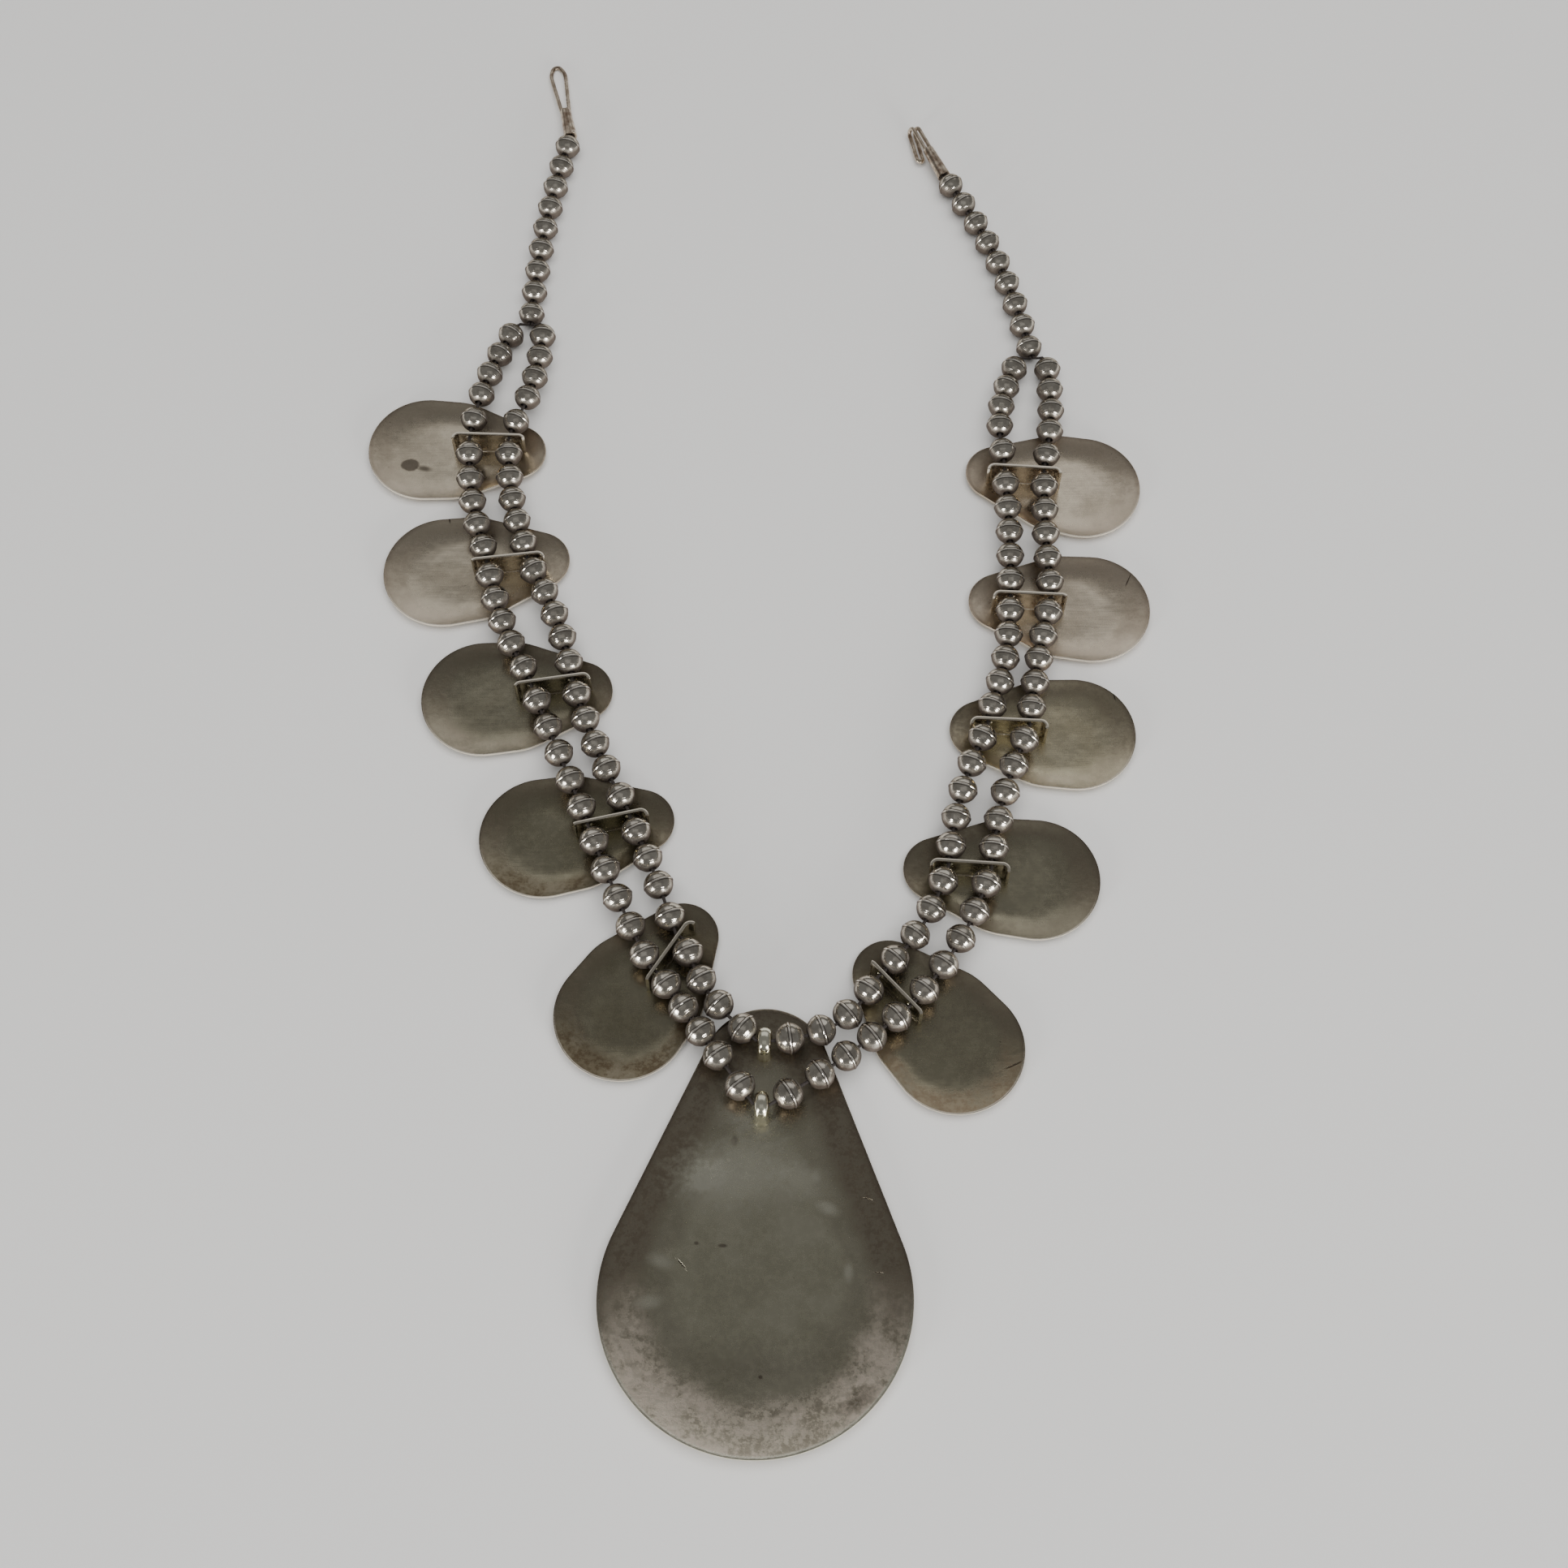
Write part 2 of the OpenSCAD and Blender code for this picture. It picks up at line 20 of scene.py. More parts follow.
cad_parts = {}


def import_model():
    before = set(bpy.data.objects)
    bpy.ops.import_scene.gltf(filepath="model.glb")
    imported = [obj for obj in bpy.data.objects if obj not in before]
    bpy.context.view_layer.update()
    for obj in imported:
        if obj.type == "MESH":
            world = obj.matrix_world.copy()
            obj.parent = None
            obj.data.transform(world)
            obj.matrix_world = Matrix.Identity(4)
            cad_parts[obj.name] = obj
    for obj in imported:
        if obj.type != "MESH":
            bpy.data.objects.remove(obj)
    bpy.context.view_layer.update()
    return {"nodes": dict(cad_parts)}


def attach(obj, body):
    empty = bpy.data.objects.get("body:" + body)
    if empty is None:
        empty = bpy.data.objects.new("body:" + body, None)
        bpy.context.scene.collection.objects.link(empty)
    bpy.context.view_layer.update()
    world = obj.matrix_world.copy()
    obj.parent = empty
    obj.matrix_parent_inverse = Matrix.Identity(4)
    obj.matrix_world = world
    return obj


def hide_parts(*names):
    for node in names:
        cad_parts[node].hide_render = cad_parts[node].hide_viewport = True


MM = 0.001
BODY = "root"
SHEET_LAYERS = ("share", "down", "worn")
BEAD_LAYERS = ("along", "tone", "low")
UP = Vector((0.0, 0.0, 1.0))
SHARP = 38.0
TOUCH = 1e-4
SOLDERED = WORN = 0.9
BUMP_FALL = 2.5
log = logging.getLogger("necklace")


class Side(Enum):
    """Sides of the necklace as it lies."""

    LEFT = "left"
    RIGHT = "right"


class Slot(Enum):
    """Material slot names for the pieces that are rebuilt; no piece is given one here."""

    SHEET = "sheet_silver"
    BEAD = "bead_silver"
    CLASP = "clasp_silver"


# Shader maths


class Value:
    """A number at a shader socket, so that shader maths reads as an expression."""

    def __init__(self, maker: "Maker", socket: NodeSocket) -> None:
        """Wraps a socket.

        Args:
            maker: what adds nodes to the material.
            socket: the output socket that holds the number.
        """
        self.maker = maker
        self.socket = socket

    def math(self, operation: str, *others: "Value | float", clamp: bool = False) -> "Value":
        """Adds a Math node on this value.

        Args:
            operation: the node's operation.
            others: its further inputs.
            clamp: whether the result is kept between 0 and 1.

        Returns:
            The node's result.
        """
        return self.maker.maths(operation, (self, *others), clamp)

    def __add__(self, other: "Value | float") -> "Value":
        """Sum."""
        return self.math("ADD", other)

    __radd__ = __add__

    def __sub__(self, other: "Value | float") -> "Value":
        """Difference."""
        return self.math("SUBTRACT", other)

    def __rsub__(self, other: float) -> "Value":
        """Reflected difference."""
        return self.maker.maths("SUBTRACT", (other, self))

    def __mul__(self, other: "Value | float") -> "Value":
        """Product."""
        return self.math("MULTIPLY", other)

    __rmul__ = __mul__

    def __truediv__(self, other: "Value | float") -> "Value":
        """Quotient."""
        return self.math("DIVIDE", other)

    def clamped(self) -> "Value":
        """The value kept between 0 and 1."""
        return self.math("ADD", 0.0, clamp=True)

    def step(self, low: float, high: float) -> "Value":
        """A soft step from 0 at low to 1 at high.

        Args:
            low: value that gives 0.
            high: value that gives 1, which may be the smaller one.

        Returns:
            The step.
        """
        t = ((self - low) / (high - low)).clamped()
        return t * t * (3.0 - 2.0 * t)


class Maker:
    """Adds the nodes of one material."""

    def __init__(self, name: str) -> None:
        """Starts a material with an output.

        Args:
            name: the material's name.
        """
        self.material = bpy.data.materials.new(name)
        self.material.use_nodes = True
        self.tree = self.material.node_tree
        self.tree.nodes.clear()
        self.output = self.tree.nodes.new("ShaderNodeOutputMaterial")

    def node(self, kind: str, settings: dict | None = None, inputs: dict | None = None) -> bpy.types.Node:
        """Adds a node.

        Args:
            kind: the node's type.
            settings: its own settings, set first.
            inputs: values or links of its sockets, by name or number.

        Returns:
            The node.
        """
        node = self.tree.nodes.new(kind)
        for key, value in (settings or {}).items():
            setattr(node, key, value)
        for key, value in (inputs or {}).items():
            self.feed(node.inputs[key], value)
        return node

    def feed(self, socket: NodeSocket, value: object) -> None:
        """Links or sets an input socket.

        Args:
            socket: the input.
            value: a Value, an output socket, or a plain number or colour.
        """
        if isinstance(value, Value):
            self.tree.links.new(value.socket, socket)
        elif isinstance(value, NodeSocket):
            self.tree.links.new(value, socket)
        elif isinstance(value, tuple) and len(value) == 3 and socket.type == "RGBA":
            socket.default_value = (*value, 1.0)
        else:
            socket.default_value = value

    def maths(self, operation: str, values: Sequence["Value | float"], clamp: bool = False) -> Value:
        """Adds a Math node.

        Args:
            operation: its operation.
            values: its inputs.
            clamp: whether the result is kept between 0 and 1.

        Returns:
            Its result.
        """
        node = self.node(
            "ShaderNodeMath", {"operation": operation, "use_clamp": clamp}, dict(enumerate(values))
        )
        return Value(self, node.outputs[0])

    def place(self) -> NodeSocket:
        """Object coordinates, in metres."""
        return self.node("ShaderNodeTexCoord").outputs["Object"]

    def attribute(self, name: str) -> Value:
        """A mesh attribute as a number."""
        return Value(self, self.node("ShaderNodeAttribute", {"attribute_name": name}).outputs["Fac"])

    def noise(
        self, size: float, detail: float = 4.0, rough: float = 0.55, stretch: tuple = (1, 1, 1)
    ) -> Value:
        """Noise by place.

        Args:
            size: rough size of its blotches, in millimetres.
            detail: octaves.
            rough: weight of the finer octaves.
            stretch: scale along each axis.

        Returns:
            Noise from 0 to 1.
        """
        mapping = self.node("ShaderNodeMapping", {}, {"Vector": self.place(), "Scale": stretch})
        node = self.node(
            "ShaderNodeTexNoise", {"noise_dimensions": "3D"},
            {"Vector": mapping.outputs[0], "Scale": 1 / (size * MM), "Detail": detail, "Roughness": rough},
        )
        return Value(self, node.outputs[0])

    def near(self, mark: "Mark") -> Value:
        """How near a point lies to a mark, seen from above: 1 in the middle, 0 outside.

        Args:
            mark: the mark.

        Returns:
            The share.
        """
        mapping = self.node(
            "ShaderNodeMapping", {"vector_type": "TEXTURE"},
            {
                "Vector": self.place(),
                "Location": (mark.x * MM, mark.y * MM, 0.0),
                "Rotation": (0.0, 0.0, math.radians(mark.turn)),
                "Scale": (mark.length / 2 * MM, mark.width / 2 * MM, 1.0),
            },
        )
        flat = self.node(
            "ShaderNodeVectorMath", {"operation": "MULTIPLY"}, {0: mapping.outputs[0], 1: (1.0, 1.0, 0.0)}
        )
        far = self.node("ShaderNodeVectorMath", {"operation": "LENGTH"}, {0: flat.outputs[0]})
        wavy = Value(self, far.outputs["Value"]) + (self.noise(1.6, 3.0) - 0.5) * mark.ragged
        return wavy.step(1.0, mark.core)

    def marks(self, marks: Sequence["Mark"]) -> Value | None:
        """How strongly marks show at a point, from 0 to 1, or None where there are none."""
        total = None
        for mark in marks:
            shown = self.near(mark) * mark.strength
            total = total + shown if total else shown
        return total.clamped() if total else None

    def mix(self, share: "Value | float", first: object, second: object) -> NodeSocket:
        """Mixes two colours.

        Args:
            share: share of the second.
            first: colour or its socket.
            second: colour or its socket.

        Returns:
            The mixed colour's socket.
        """
        node = self.node("ShaderNodeMix", {"data_type": "RGBA"}, {"Factor": share, 6: first, 7: second})
        return node.outputs[2]

    def bump(self, height: Value, distance: float) -> NodeSocket:
        """A Bump node.

        Args:
            height: height from 0 to 1.
            distance: height of 1, in millimetres.

        Returns:
            The normal's socket.
        """
        return self.node("ShaderNodeBump", {}, {"Height": height, "Distance": distance * MM}).outputs[0]

    def surface(self, **inputs: object) -> Material:
        """Finishes the material with a Principled surface.

        Args:
            inputs: its sockets, with _ for a space.

        Returns:
            The material.
        """
        named = {key.replace("_", " "): value for key, value in inputs.items()}
        shader = self.node("ShaderNodeBsdfPrincipled", {}, named)
        self.tree.links.new(shader.outputs[0], self.output.inputs[0])
        return self.material


@dataclass(frozen=True)
class Mark:
    """A stain, scratch, crease or painted highlight patch on a drop.

    x, y, length and width are millimetres, turn degrees; core is the share of its radius that is full,
    and strength how much of its colour shows.
    """

    x: float
    y: float
    length: float
    width: float
    turn: float = 0.0
    core: float = 0.4
    ragged: float = 0.35
    strength: float = 0.8


# Finishes

STAIN, SPECK, SCRATCH = (0.16, 0.13, 0.10), (0.12, 0.10, 0.08), (0.10, 0.08, 0.065)


@dataclass(frozen=True)
class SheetFinish:
    """Tarnished silver sheet: brown towards its rim, with a painted reflection on its lower rim, a painted
    shade ring and painted highlights, and its own marks.
    """

    name: str
    light: tuple = (0.52, 0.485, 0.36)
    dark: tuple = (0.38, 0.345, 0.25)
    # Tarnish brown of the rim; also the colour of the painted shade ring, the reflection's darker mottles and
    # the darker outer edge.
    rim: tuple = (0.27, 0.22, 0.165)
    # Colour of the painted reflection on the lower rim band, light or dark drop by drop.
    frost: tuple = (0.95, 0.79, 0.64)
    # Colour of the painted highlights and of the worn edges.
    bright: tuple = (0.98, 0.90, 0.76)
    # Share of tarnish brown with painted shade on the rim band, away from its lower side.
    browned: float = 0.6
    # Strength of the painted reflection on the lower rim band.
    frosted: float = 0.35
    # Strength of the painted shade ring part way out on the dish.
    ring: float = 0.12
    smooth: float = 0.2
    stains: tuple = ()
    # Painted highlight patches where the dents catch the light.
    highlight_patches: tuple = ()
    lines: tuple = ()

    def make(self) -> Material:
        """Builds the material."""
        m = Maker(self.name)
        share, down, worn = (m.attribute(name) for name in SHEET_LAYERS)
        cloud = m.noise(15.0, 4.0, 0.6).step(0.33, 0.68)
        fine = m.noise(1.6, 6.0, 0.75).step(0.44, 0.58)
        blotch = m.noise(6.5, 6.0, 0.7).step(0.40, 0.56)
        speck = m.noise(0.55, 2.0).step(0.69, 0.76) * m.noise(6.0, 2.0).step(0.45, 0.65)
        edge = share + (m.noise(9.0, 2.0) - 0.5) * 0.16
        band = edge.step(0.66, 0.82)
        lower = (down + (m.noise(12.0, 2.0) - 0.5) * 0.5).step(0.1, 0.7)
        colour = m.mix(cloud * 0.8, self.light, self.dark)
        # Painted shade: a darker ring part way out on the dish, where it starts to rise.
        colour = m.mix(edge.step(0.48, 0.62) * edge.step(0.84, 0.72) * self.ring, colour, self.rim)
        # Tarnish brown with painted shade on the rim band, kept off the lower side.
        colour = m.mix(band * (1.0 - lower) * (0.8 + 0.3 * fine) * self.browned, colour, self.rim)
        mottle = 0.3 + 0.4 * blotch + 0.3 * fine
        # Painted reflection on the lower rim band, mottled, with darker mottles in the rim colour.
        colour = m.mix(band * lower * mottle * self.frosted, colour, self.frost)
        colour = m.mix(band * lower * (1.0 - blotch) * (1.0 - fine) * self.frosted * 0.5, colour, self.rim)
        # Darker outer edge, except on the lower side.
        colour = m.mix(share.step(0.93, 0.99) * (1.0 - lower) * 0.5, colour, self.rim)
        colour = m.mix(speck * 0.6, colour, SPECK)
        # Real stains and scratches, and painted highlight patches on the dents.
        stained, highlight_patches, line = (m.marks(marks) for marks in (self.stains, self.highlight_patches, self.lines))
        for shown, tone in ((stained, STAIN), (highlight_patches, self.bright), (line, SCRATCH)):
            if shown:
                colour = m.mix(shown, colour, tone)
        # Painted highlight: a bright line along the lower rim edge; also the worn edges of brackets and
        # loops.
        colour = m.mix((share.step(0.975, 0.992) * lower * 0.9).math("MAXIMUM", worn), colour, self.bright)
        scratch = m.noise(1.0, 3.0, 0.6, (0.12, 1.6, 1)) + m.noise(0.8, 3.0, 0.6, (1.7, 0.2, 1))
        rolled = share.step(0.975, 0.992)
        rough = self.smooth + 0.06 * fine + 0.06 * cloud + band * 0.08 - worn * 0.1 - rolled * 0.14
        if stained:
            rough = rough + stained * 0.2
        height = scratch * 0.25 + fine * band * 0.2 + m.noise(7.0, 2.0) * 2.6
        if line:
            height = height - line * 3.75
        return m.surface(
            Base_Color=colour, Metallic=1.0, Roughness=rough.clamped(), Normal=m.bump(height, 0.05)
        )


@dataclass(frozen=True)
class BeadFinish:
    """Handled silver: bright on top, brown painted shade below, beside the seam and round the holes, with a
    light seam.
    """

    name: str
    light: tuple = (0.84, 0.785, 0.68)
    dark: tuple = (0.50, 0.455, 0.385)
    # Colour of the painted shade below, beside the seam and at the holes.
    under: tuple = (0.055, 0.032, 0.022)
    seam: tuple = (1.0, 0.94, 0.84)
    edge: tuple = (0.22, 0.19, 0.165, 1.0)

    def make(self) -> Material:
        """Builds the material."""
        m = Maker(self.name)
        along, tone, low = (m.attribute(name) for name in BEAD_LAYERS)
        pole = along.math("ABSOLUTE")
        cloud = m.noise(2.4, 4.0, 0.6).step(0.36, 0.66)
        fine = m.noise(0.5, 4.0, 0.65)
        # Painted shade on the bead's lower side, which also dulls and roughens the metal there.
        painted_shade = (low + (m.noise(1.6, 3.0) - 0.5) * 0.5).step(0.72, 0.2)
        colour = m.mix((cloud * 0.6 + tone * 0.4).clamped(), self.light, self.dark)
        # Painted shade in the crease on each side of the seam.
        colour = m.mix(pole.step(0.17, 0.12) * pole.step(0.06, 0.09) * 0.75, colour, self.under)
        colour = m.mix(pole.step(0.075, 0.05), colour, self.seam)
        # Painted shade on the lower side and into the holes between beads.
        colour = m.mix((painted_shade * 0.85).math("MAXIMUM", pole.step(0.93, 1.0) * 0.9), colour, self.under)
        rings = (pole * 40.0 + tone * 6.0).math("SINE") * pole.step(0.35, 0.6)
        rough = 0.08 + 0.09 * cloud + 0.06 * fine + 0.25 * pole.step(0.75, 0.95) + painted_shade * 0.2
        height = rings * 0.5 * tone + m.noise(1.1, 3.0) * 1.8 + fine * 0.3
        return m.surface(
            Base_Color=colour, Metallic=1.0 - 0.5 * painted_shade, Roughness=rough.clamped(),
            Specular_Tint=self.edge, Normal=m.bump(height, 0.035),
        )


@dataclass(frozen=True)
class WireFinish:
    """Bent and soldered silver: brown in its hollows and bright where it is worn."""

    name: str
    light: tuple = (0.66, 0.57, 0.45)
    dark: tuple = (0.26, 0.18, 0.13)
    smooth: float = 0.2

    def make(self) -> Material:
        """Builds the material."""
        m = Maker(self.name)
        cloud = m.noise(2.2, 4.0, 0.6).step(0.35, 0.66)
        fine = m.noise(0.4, 4.0, 0.6)
        worn = Value(m, m.node("ShaderNodeNewGeometry").outputs["Pointiness"]).step(0.5, 0.6)
        colour = m.mix(cloud * (1.0 - worn * 0.7), self.light, self.dark)
        rough = self.smooth + 0.15 * cloud + 0.1 * fine
        return m.surface(
            Base_Color=colour, Metallic=1.0, Roughness=rough.clamped(),
            Normal=m.bump(m.noise(0.9, 3.0) + fine * 0.4, 0.05),
        )


@dataclass(frozen=True)
class CordFinish:
    """Dark waxed cord."""

    name: str

    def make(self) -> Material:
        """Builds the material."""
        m = Maker(self.name)
        strands = m.noise(0.35, 3.0, 0.6, (1, 0.35, 1))
        colour = m.mix(strands, (0.016, 0.013, 0.012), (0.055, 0.045, 0.04))
        return m.surface(
            Base_Color=colour, Roughness=(0.55 + 0.3 * strands).clamped(), Normal=m.bump(strands, 0.1)
        )


@dataclass(frozen=True)
class FloorFinish:
    """Plain pale floor."""

    name: str = "floor"
    colour: tuple = (0.74, 0.73, 0.71)

    def make(self) -> Material:
        """Builds the material."""
        m = Maker(self.name)
        colour = m.mix(m.noise(60.0, 2.0) * 0.12, self.colour, (0.69, 0.68, 0.66))
        return m.surface(Base_Color=colour, Roughness=0.8)


# Shapes, in millimetres


def loft(bm: BMesh, rings: Sequence[Sequence[Vector]], capped: bool = True) -> list:
    """Skins closed rings of equally many points, by extruding the first one from ring to ring.

    Args:
        bm: the mesh that it is added to.
        rings: the rings, in order.
        capped: whether the first and the last ring are filled.

    Returns:
        The new vertices of each ring, in the rings' order.
    """
    order = bm.verts.layers.int.get("order") or bm.verts.layers.int.new("order")
    verts = bmesh.ops.create_circle(bm, cap_ends=False, segments=len(rings[0]), radius=1.0)["verts"]
    edges = list({edge for vert in verts for edge in vert.link_edges})
    for number, vert in enumerate(verts):
        vert[order] = number
        vert.co = rings[0][number]
    made = [list(verts)]
    if capped:
        bmesh.ops.contextual_create(bm, geom=edges)
    for ring in rings[1:]:
        geom = bmesh.ops.extrude_edge_only(bm, edges=edges)["geom"]
        edges = [item for item in geom if isinstance(item, BMEdge)]
        verts = [item for item in geom if isinstance(item, BMVert)]
        edges = [edge for edge in edges if all(vert in verts for vert in edge.verts)]
        for vert in verts:
            vert.co = ring[vert[order]]
        made.append(sorted(verts, key=lambda vert: vert[order]))
    if capped:
        bmesh.ops.contextual_create(bm, geom=edges)
    return made


def turns(count: int) -> list[float]:
    """Evenly spaced turns round a circle, in radians."""
    return [2 * math.pi * k / count for k in range(count)]


def tube_rings(
    path: Sequence[Vector], radius: Callable[[float], float], sides: int, up: Vector
) -> list[list[Vector]]:
    """Rings of a round tube along a path, with one side kept turned the same way.

    Args:
        path: points along its middle.
        radius: its radius at a share of the path.
        sides: points in a ring.
        up: direction that the first ring starts from.

    Returns:
        The rings.
    """
    rings = []
    last = len(path) - 1
    for i, point in enumerate(path):
        way = (path[min(i + 1, last)] - path[max(i - 1, 0)]).normalized()
        up = (up - way * up.dot(way)).normalized()
        across = way.cross(up)
        r = radius(i / last)
        rings.append([point + (across * math.cos(a) + up * math.sin(a)) * r for a in turns(sides)])
    return rings


def soften(bm: BMesh, width: float, segments: int = 2, least: float = 50.0) -> None:
    """Bevels the sharp edges of a mesh.

    Args:
        bm: the mesh.
        width: width of the bevel.
        segments: faces across it.
        least: least angle of an edge that is bevelled, in degrees.
    """
    angle = math.radians(least)
    sharp = [edge for edge in bm.edges if len(edge.link_faces) == 2 and edge.calc_face_angle(0.0) > angle]
    bmesh.ops.bevel(
        bm, geom=sharp, offset=width, offset_type="OFFSET", affect="EDGES", segments=segments,
        profile=0.5, material=-1, clamp_overlap=True,
    )


def layered(names: Sequence[str]) -> BMesh:
    """An empty mesh with these layers of numbers."""
    bm = bmesh.new()
    for name in names:
        bm.verts.layers.float.new(name)
    return bm


def closed_line(bm: BMesh, points: Sequence[tuple]) -> list:
    """Adds a closed line through points and returns its vertices, then its edges."""
    verts = [bm.verts.new(point) for point in points]
    return verts + [bm.edges.new(pair) for pair in zip(verts, verts[1:] + verts[:1])]


def facing_out(bm: BMesh) -> None:
    """Turns every face of the mesh outwards."""
    bmesh.ops.recalc_face_normals(bm, faces=bm.faces[:])


def link(name: str, data: bpy.types.ID, material: Material | None = None) -> Object:
    """Puts a new object with this data into the scene, dressed where a material is given."""
    if material:
        data.materials.append(material)
    made = bpy.data.objects.new(name, data)
    bpy.context.scene.collection.objects.link(made)
    return made


def publish(name: str, bm: BMesh, material: Material, node: str) -> Object:
    """Makes a finished piece from a mesh in millimetres and puts it in place of a node.

    Args:
        name: the piece's name.
        bm: its mesh, which is freed.
        material: its finish.
        node: the node that it stands for.

    Returns:
        The piece.
    """
    bmesh.ops.scale(bm, vec=(MM, MM, MM), verts=bm.verts[:])
    open_edges = sum(1 for edge in bm.edges if len(edge.link_faces) != 2)
    triangles = sum(len(face.verts) - 2 for face in bm.faces)
    mesh = bpy.data.meshes.new(name)
    bm.to_mesh(mesh)
    bm.free()
    mesh.shade_smooth()
    mesh.set_sharp_from_angle(angle=math.radians(SHARP))
    piece = link(name, mesh, material)
    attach(piece, BODY)
    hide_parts(node)
    log.info("%s: %d triangles, %d open edges, for %s", name, triangles, open_edges, node)
    return piece


def paint(bm: BMesh, layer: str, value: float) -> None:
    """Adds a layer that has the same value at every vertex."""
    made = bm.verts.layers.float.new(layer)
    for vert in bm.verts:
        vert[made] = value


def placed(x: float, y: float, turn: float, z: float = 0.0) -> Matrix:
    """Place at a point, turned by degrees as seen from above."""
    return Matrix.Translation((x, y, z)) @ Matrix.Rotation(math.radians(turn), 4, "Z")


def heading(turn: float) -> Vector:
    """Direction of a turn in degrees, seen from above."""
    return Vector((math.cos(math.radians(turn)), math.sin(math.radians(turn)), 0.0))


@dataclass
class Bump:
    """A soft bulge of a sheet, at its place on the necklace, with its radius and height."""

    x: float
    y: float
    radius: float
    height: float


@dataclass
class Plate:
    """Dished teardrop of sheet, with its tip at 0 and its axis along +X. Circles on it bound its outline.

    low is where its dish is lowest, relief the depth of its unevenness, broad and small the sizes of that.
    """

    circles: Sequence[tuple]
    length: float
    low: float
    dish: float
    tip_lift: float
    sheet: float
    place: Matrix
    points: int = 168
    relief: float = 0.1
    broad: float = 11.0
    small: float = 4.5
    samples: int = 3000
    bumps: Sequence[Bump] = ()
    power: float = 2.25
    flat: float = 0.5
    edge_round: float = 0.2
    inset: float = 0.06
    raised: float = 0.01
    shares: Sequence[float] = (
        1.0, 0.985, 0.965, 0.94, 0.91, 0.88, 0.845, 0.81, 0.77, 0.73, 0.69, 0.65, 0.61, 0.56, 0.5,
        0.43, 0.36, 0.29, 0.22, 0.15, 0.08,
    )

    def outline(self) -> list[Vector]:
        """Evenly spaced points of the tight band round its circles."""
        round_it = np.linspace(0, 2 * math.pi, self.samples, endpoint=False)
        reach = np.array([c * np.cos(round_it) + r for c, r in self.circles])
        which = reach.argmax(0)
        centre = np.array([c for c, _ in self.circles])[which]
        radius = np.array([r for _, r in self.circles])[which] - self.inset
        x = centre + radius * np.cos(round_it)
        y = radius * np.sin(round_it)
        x, y = np.append(x, x[0]), np.append(y, y[0])
        run = np.append(0, np.cumsum(np.hypot(np.diff(x), np.diff(y))))
        even = np.linspace(0, run[-1], self.points, endpoint=False)
        return [Vector(p) for p in np.stack([np.interp(even, run, x), np.interp(even, run, y)], 1)]

    def lift(self, share: float, s: float) -> float:
        """Height of the underside, from its share of the way to the rim and its distance from the tip."""
        rise = max(share - self.flat, 0) / (1 - self.flat)
        return self.dish * rise**self.power * (self.tip_lift + (1 - self.tip_lift) * s / self.length)

    def back(self, s: float) -> float:
        """Height of the back on the drop's axis, at a distance from its tip."""
        share = (self.low - s) / self.low if s < self.low else (s - self.low) / (self.length - self.low)
        return self.lift(share, s) + self.sheet

    def unevenness(self, s: float, y: float) -> float:
        """How far the sheet stands proud of its plain form."""
        spot = self.place @ Vector((s, y, 0.0))
        waves = noise.noise(spot / self.broad) * 0.65 + noise.noise(spot / self.small) * 0.35
        rise = self.raised + self.relief * (waves + 1) / 2
        for bump in self.bumps:
            far = math.hypot(spot.x - bump.x, spot.y - bump.y) / bump.radius
            rise += bump.height * math.exp(-BUMP_FALL * far * far)
        return rise

    def build(self, bm: BMesh) -> None:
        """Adds the plate.

        Args:
            bm: the mesh that it is added to.
        """
        own = layered(("share", "down"))
        across, down = own.verts.layers.float["share"], own.verts.layers.float["down"]
        middle = Vector((self.low, 0.0))
        edge = self.outline()
        rings = []
        for share in self.shares:
            ring = []
            for point in edge:
                spot = middle + (point - middle) * share
                height = self.lift(share, spot.x) + self.sheet + self.unevenness(spot.x, spot.y)
                ring.append(Vector((spot.x, spot.y, height)))
            rings.append(ring)
        made = loft(own, rings, capped=False)
        for share, verts in zip(self.shares, made):
            for vert in verts:
                away = self.place.to_3x3() @ Vector((vert.co.x - self.low, vert.co.y, 0.0))
                vert[across] = share
                vert[down] = -away.normalized().y
        inner = set(made[-1])
        hub = [e for e in own.edges if len(e.link_faces) == 1 and all(v in inner for v in e.verts)]
        bmesh.ops.contextual_create(own, geom=hub)
        facing_out(own)
        if sum(face.normal.z for face in own.faces) < 0:
            bmesh.ops.reverse_faces(own, faces=own.faces[:])
        extruded = bmesh.ops.extrude_face_region(own, geom=own.faces[:], use_keep_orig=True)["geom"]
        moved = [item for item in extruded if isinstance(item, BMVert)]
        bmesh.ops.translate(own, vec=(0, 0, -self.sheet), verts=moved)
        facing_out(own)
        soften(own, self.edge_round)
        absorb(bm, own, self.place)


def absorb(bm: BMesh, other: BMesh, place: Matrix | None = None) -> None:
    """Adds another mesh, with its attributes, and frees it.

    Args:
        bm: the mesh that it is added to.
        other: the other mesh.
        place: where it is put first.
    """
    if place is not None:
        bmesh.ops.transform(other, matrix=place, verts=other.verts[:])
    mesh = bpy.data.meshes.new("part")
    other.to_mesh(mesh)
    other.free()
    bm.from_mesh(mesh)
    bpy.data.meshes.remove(mesh)


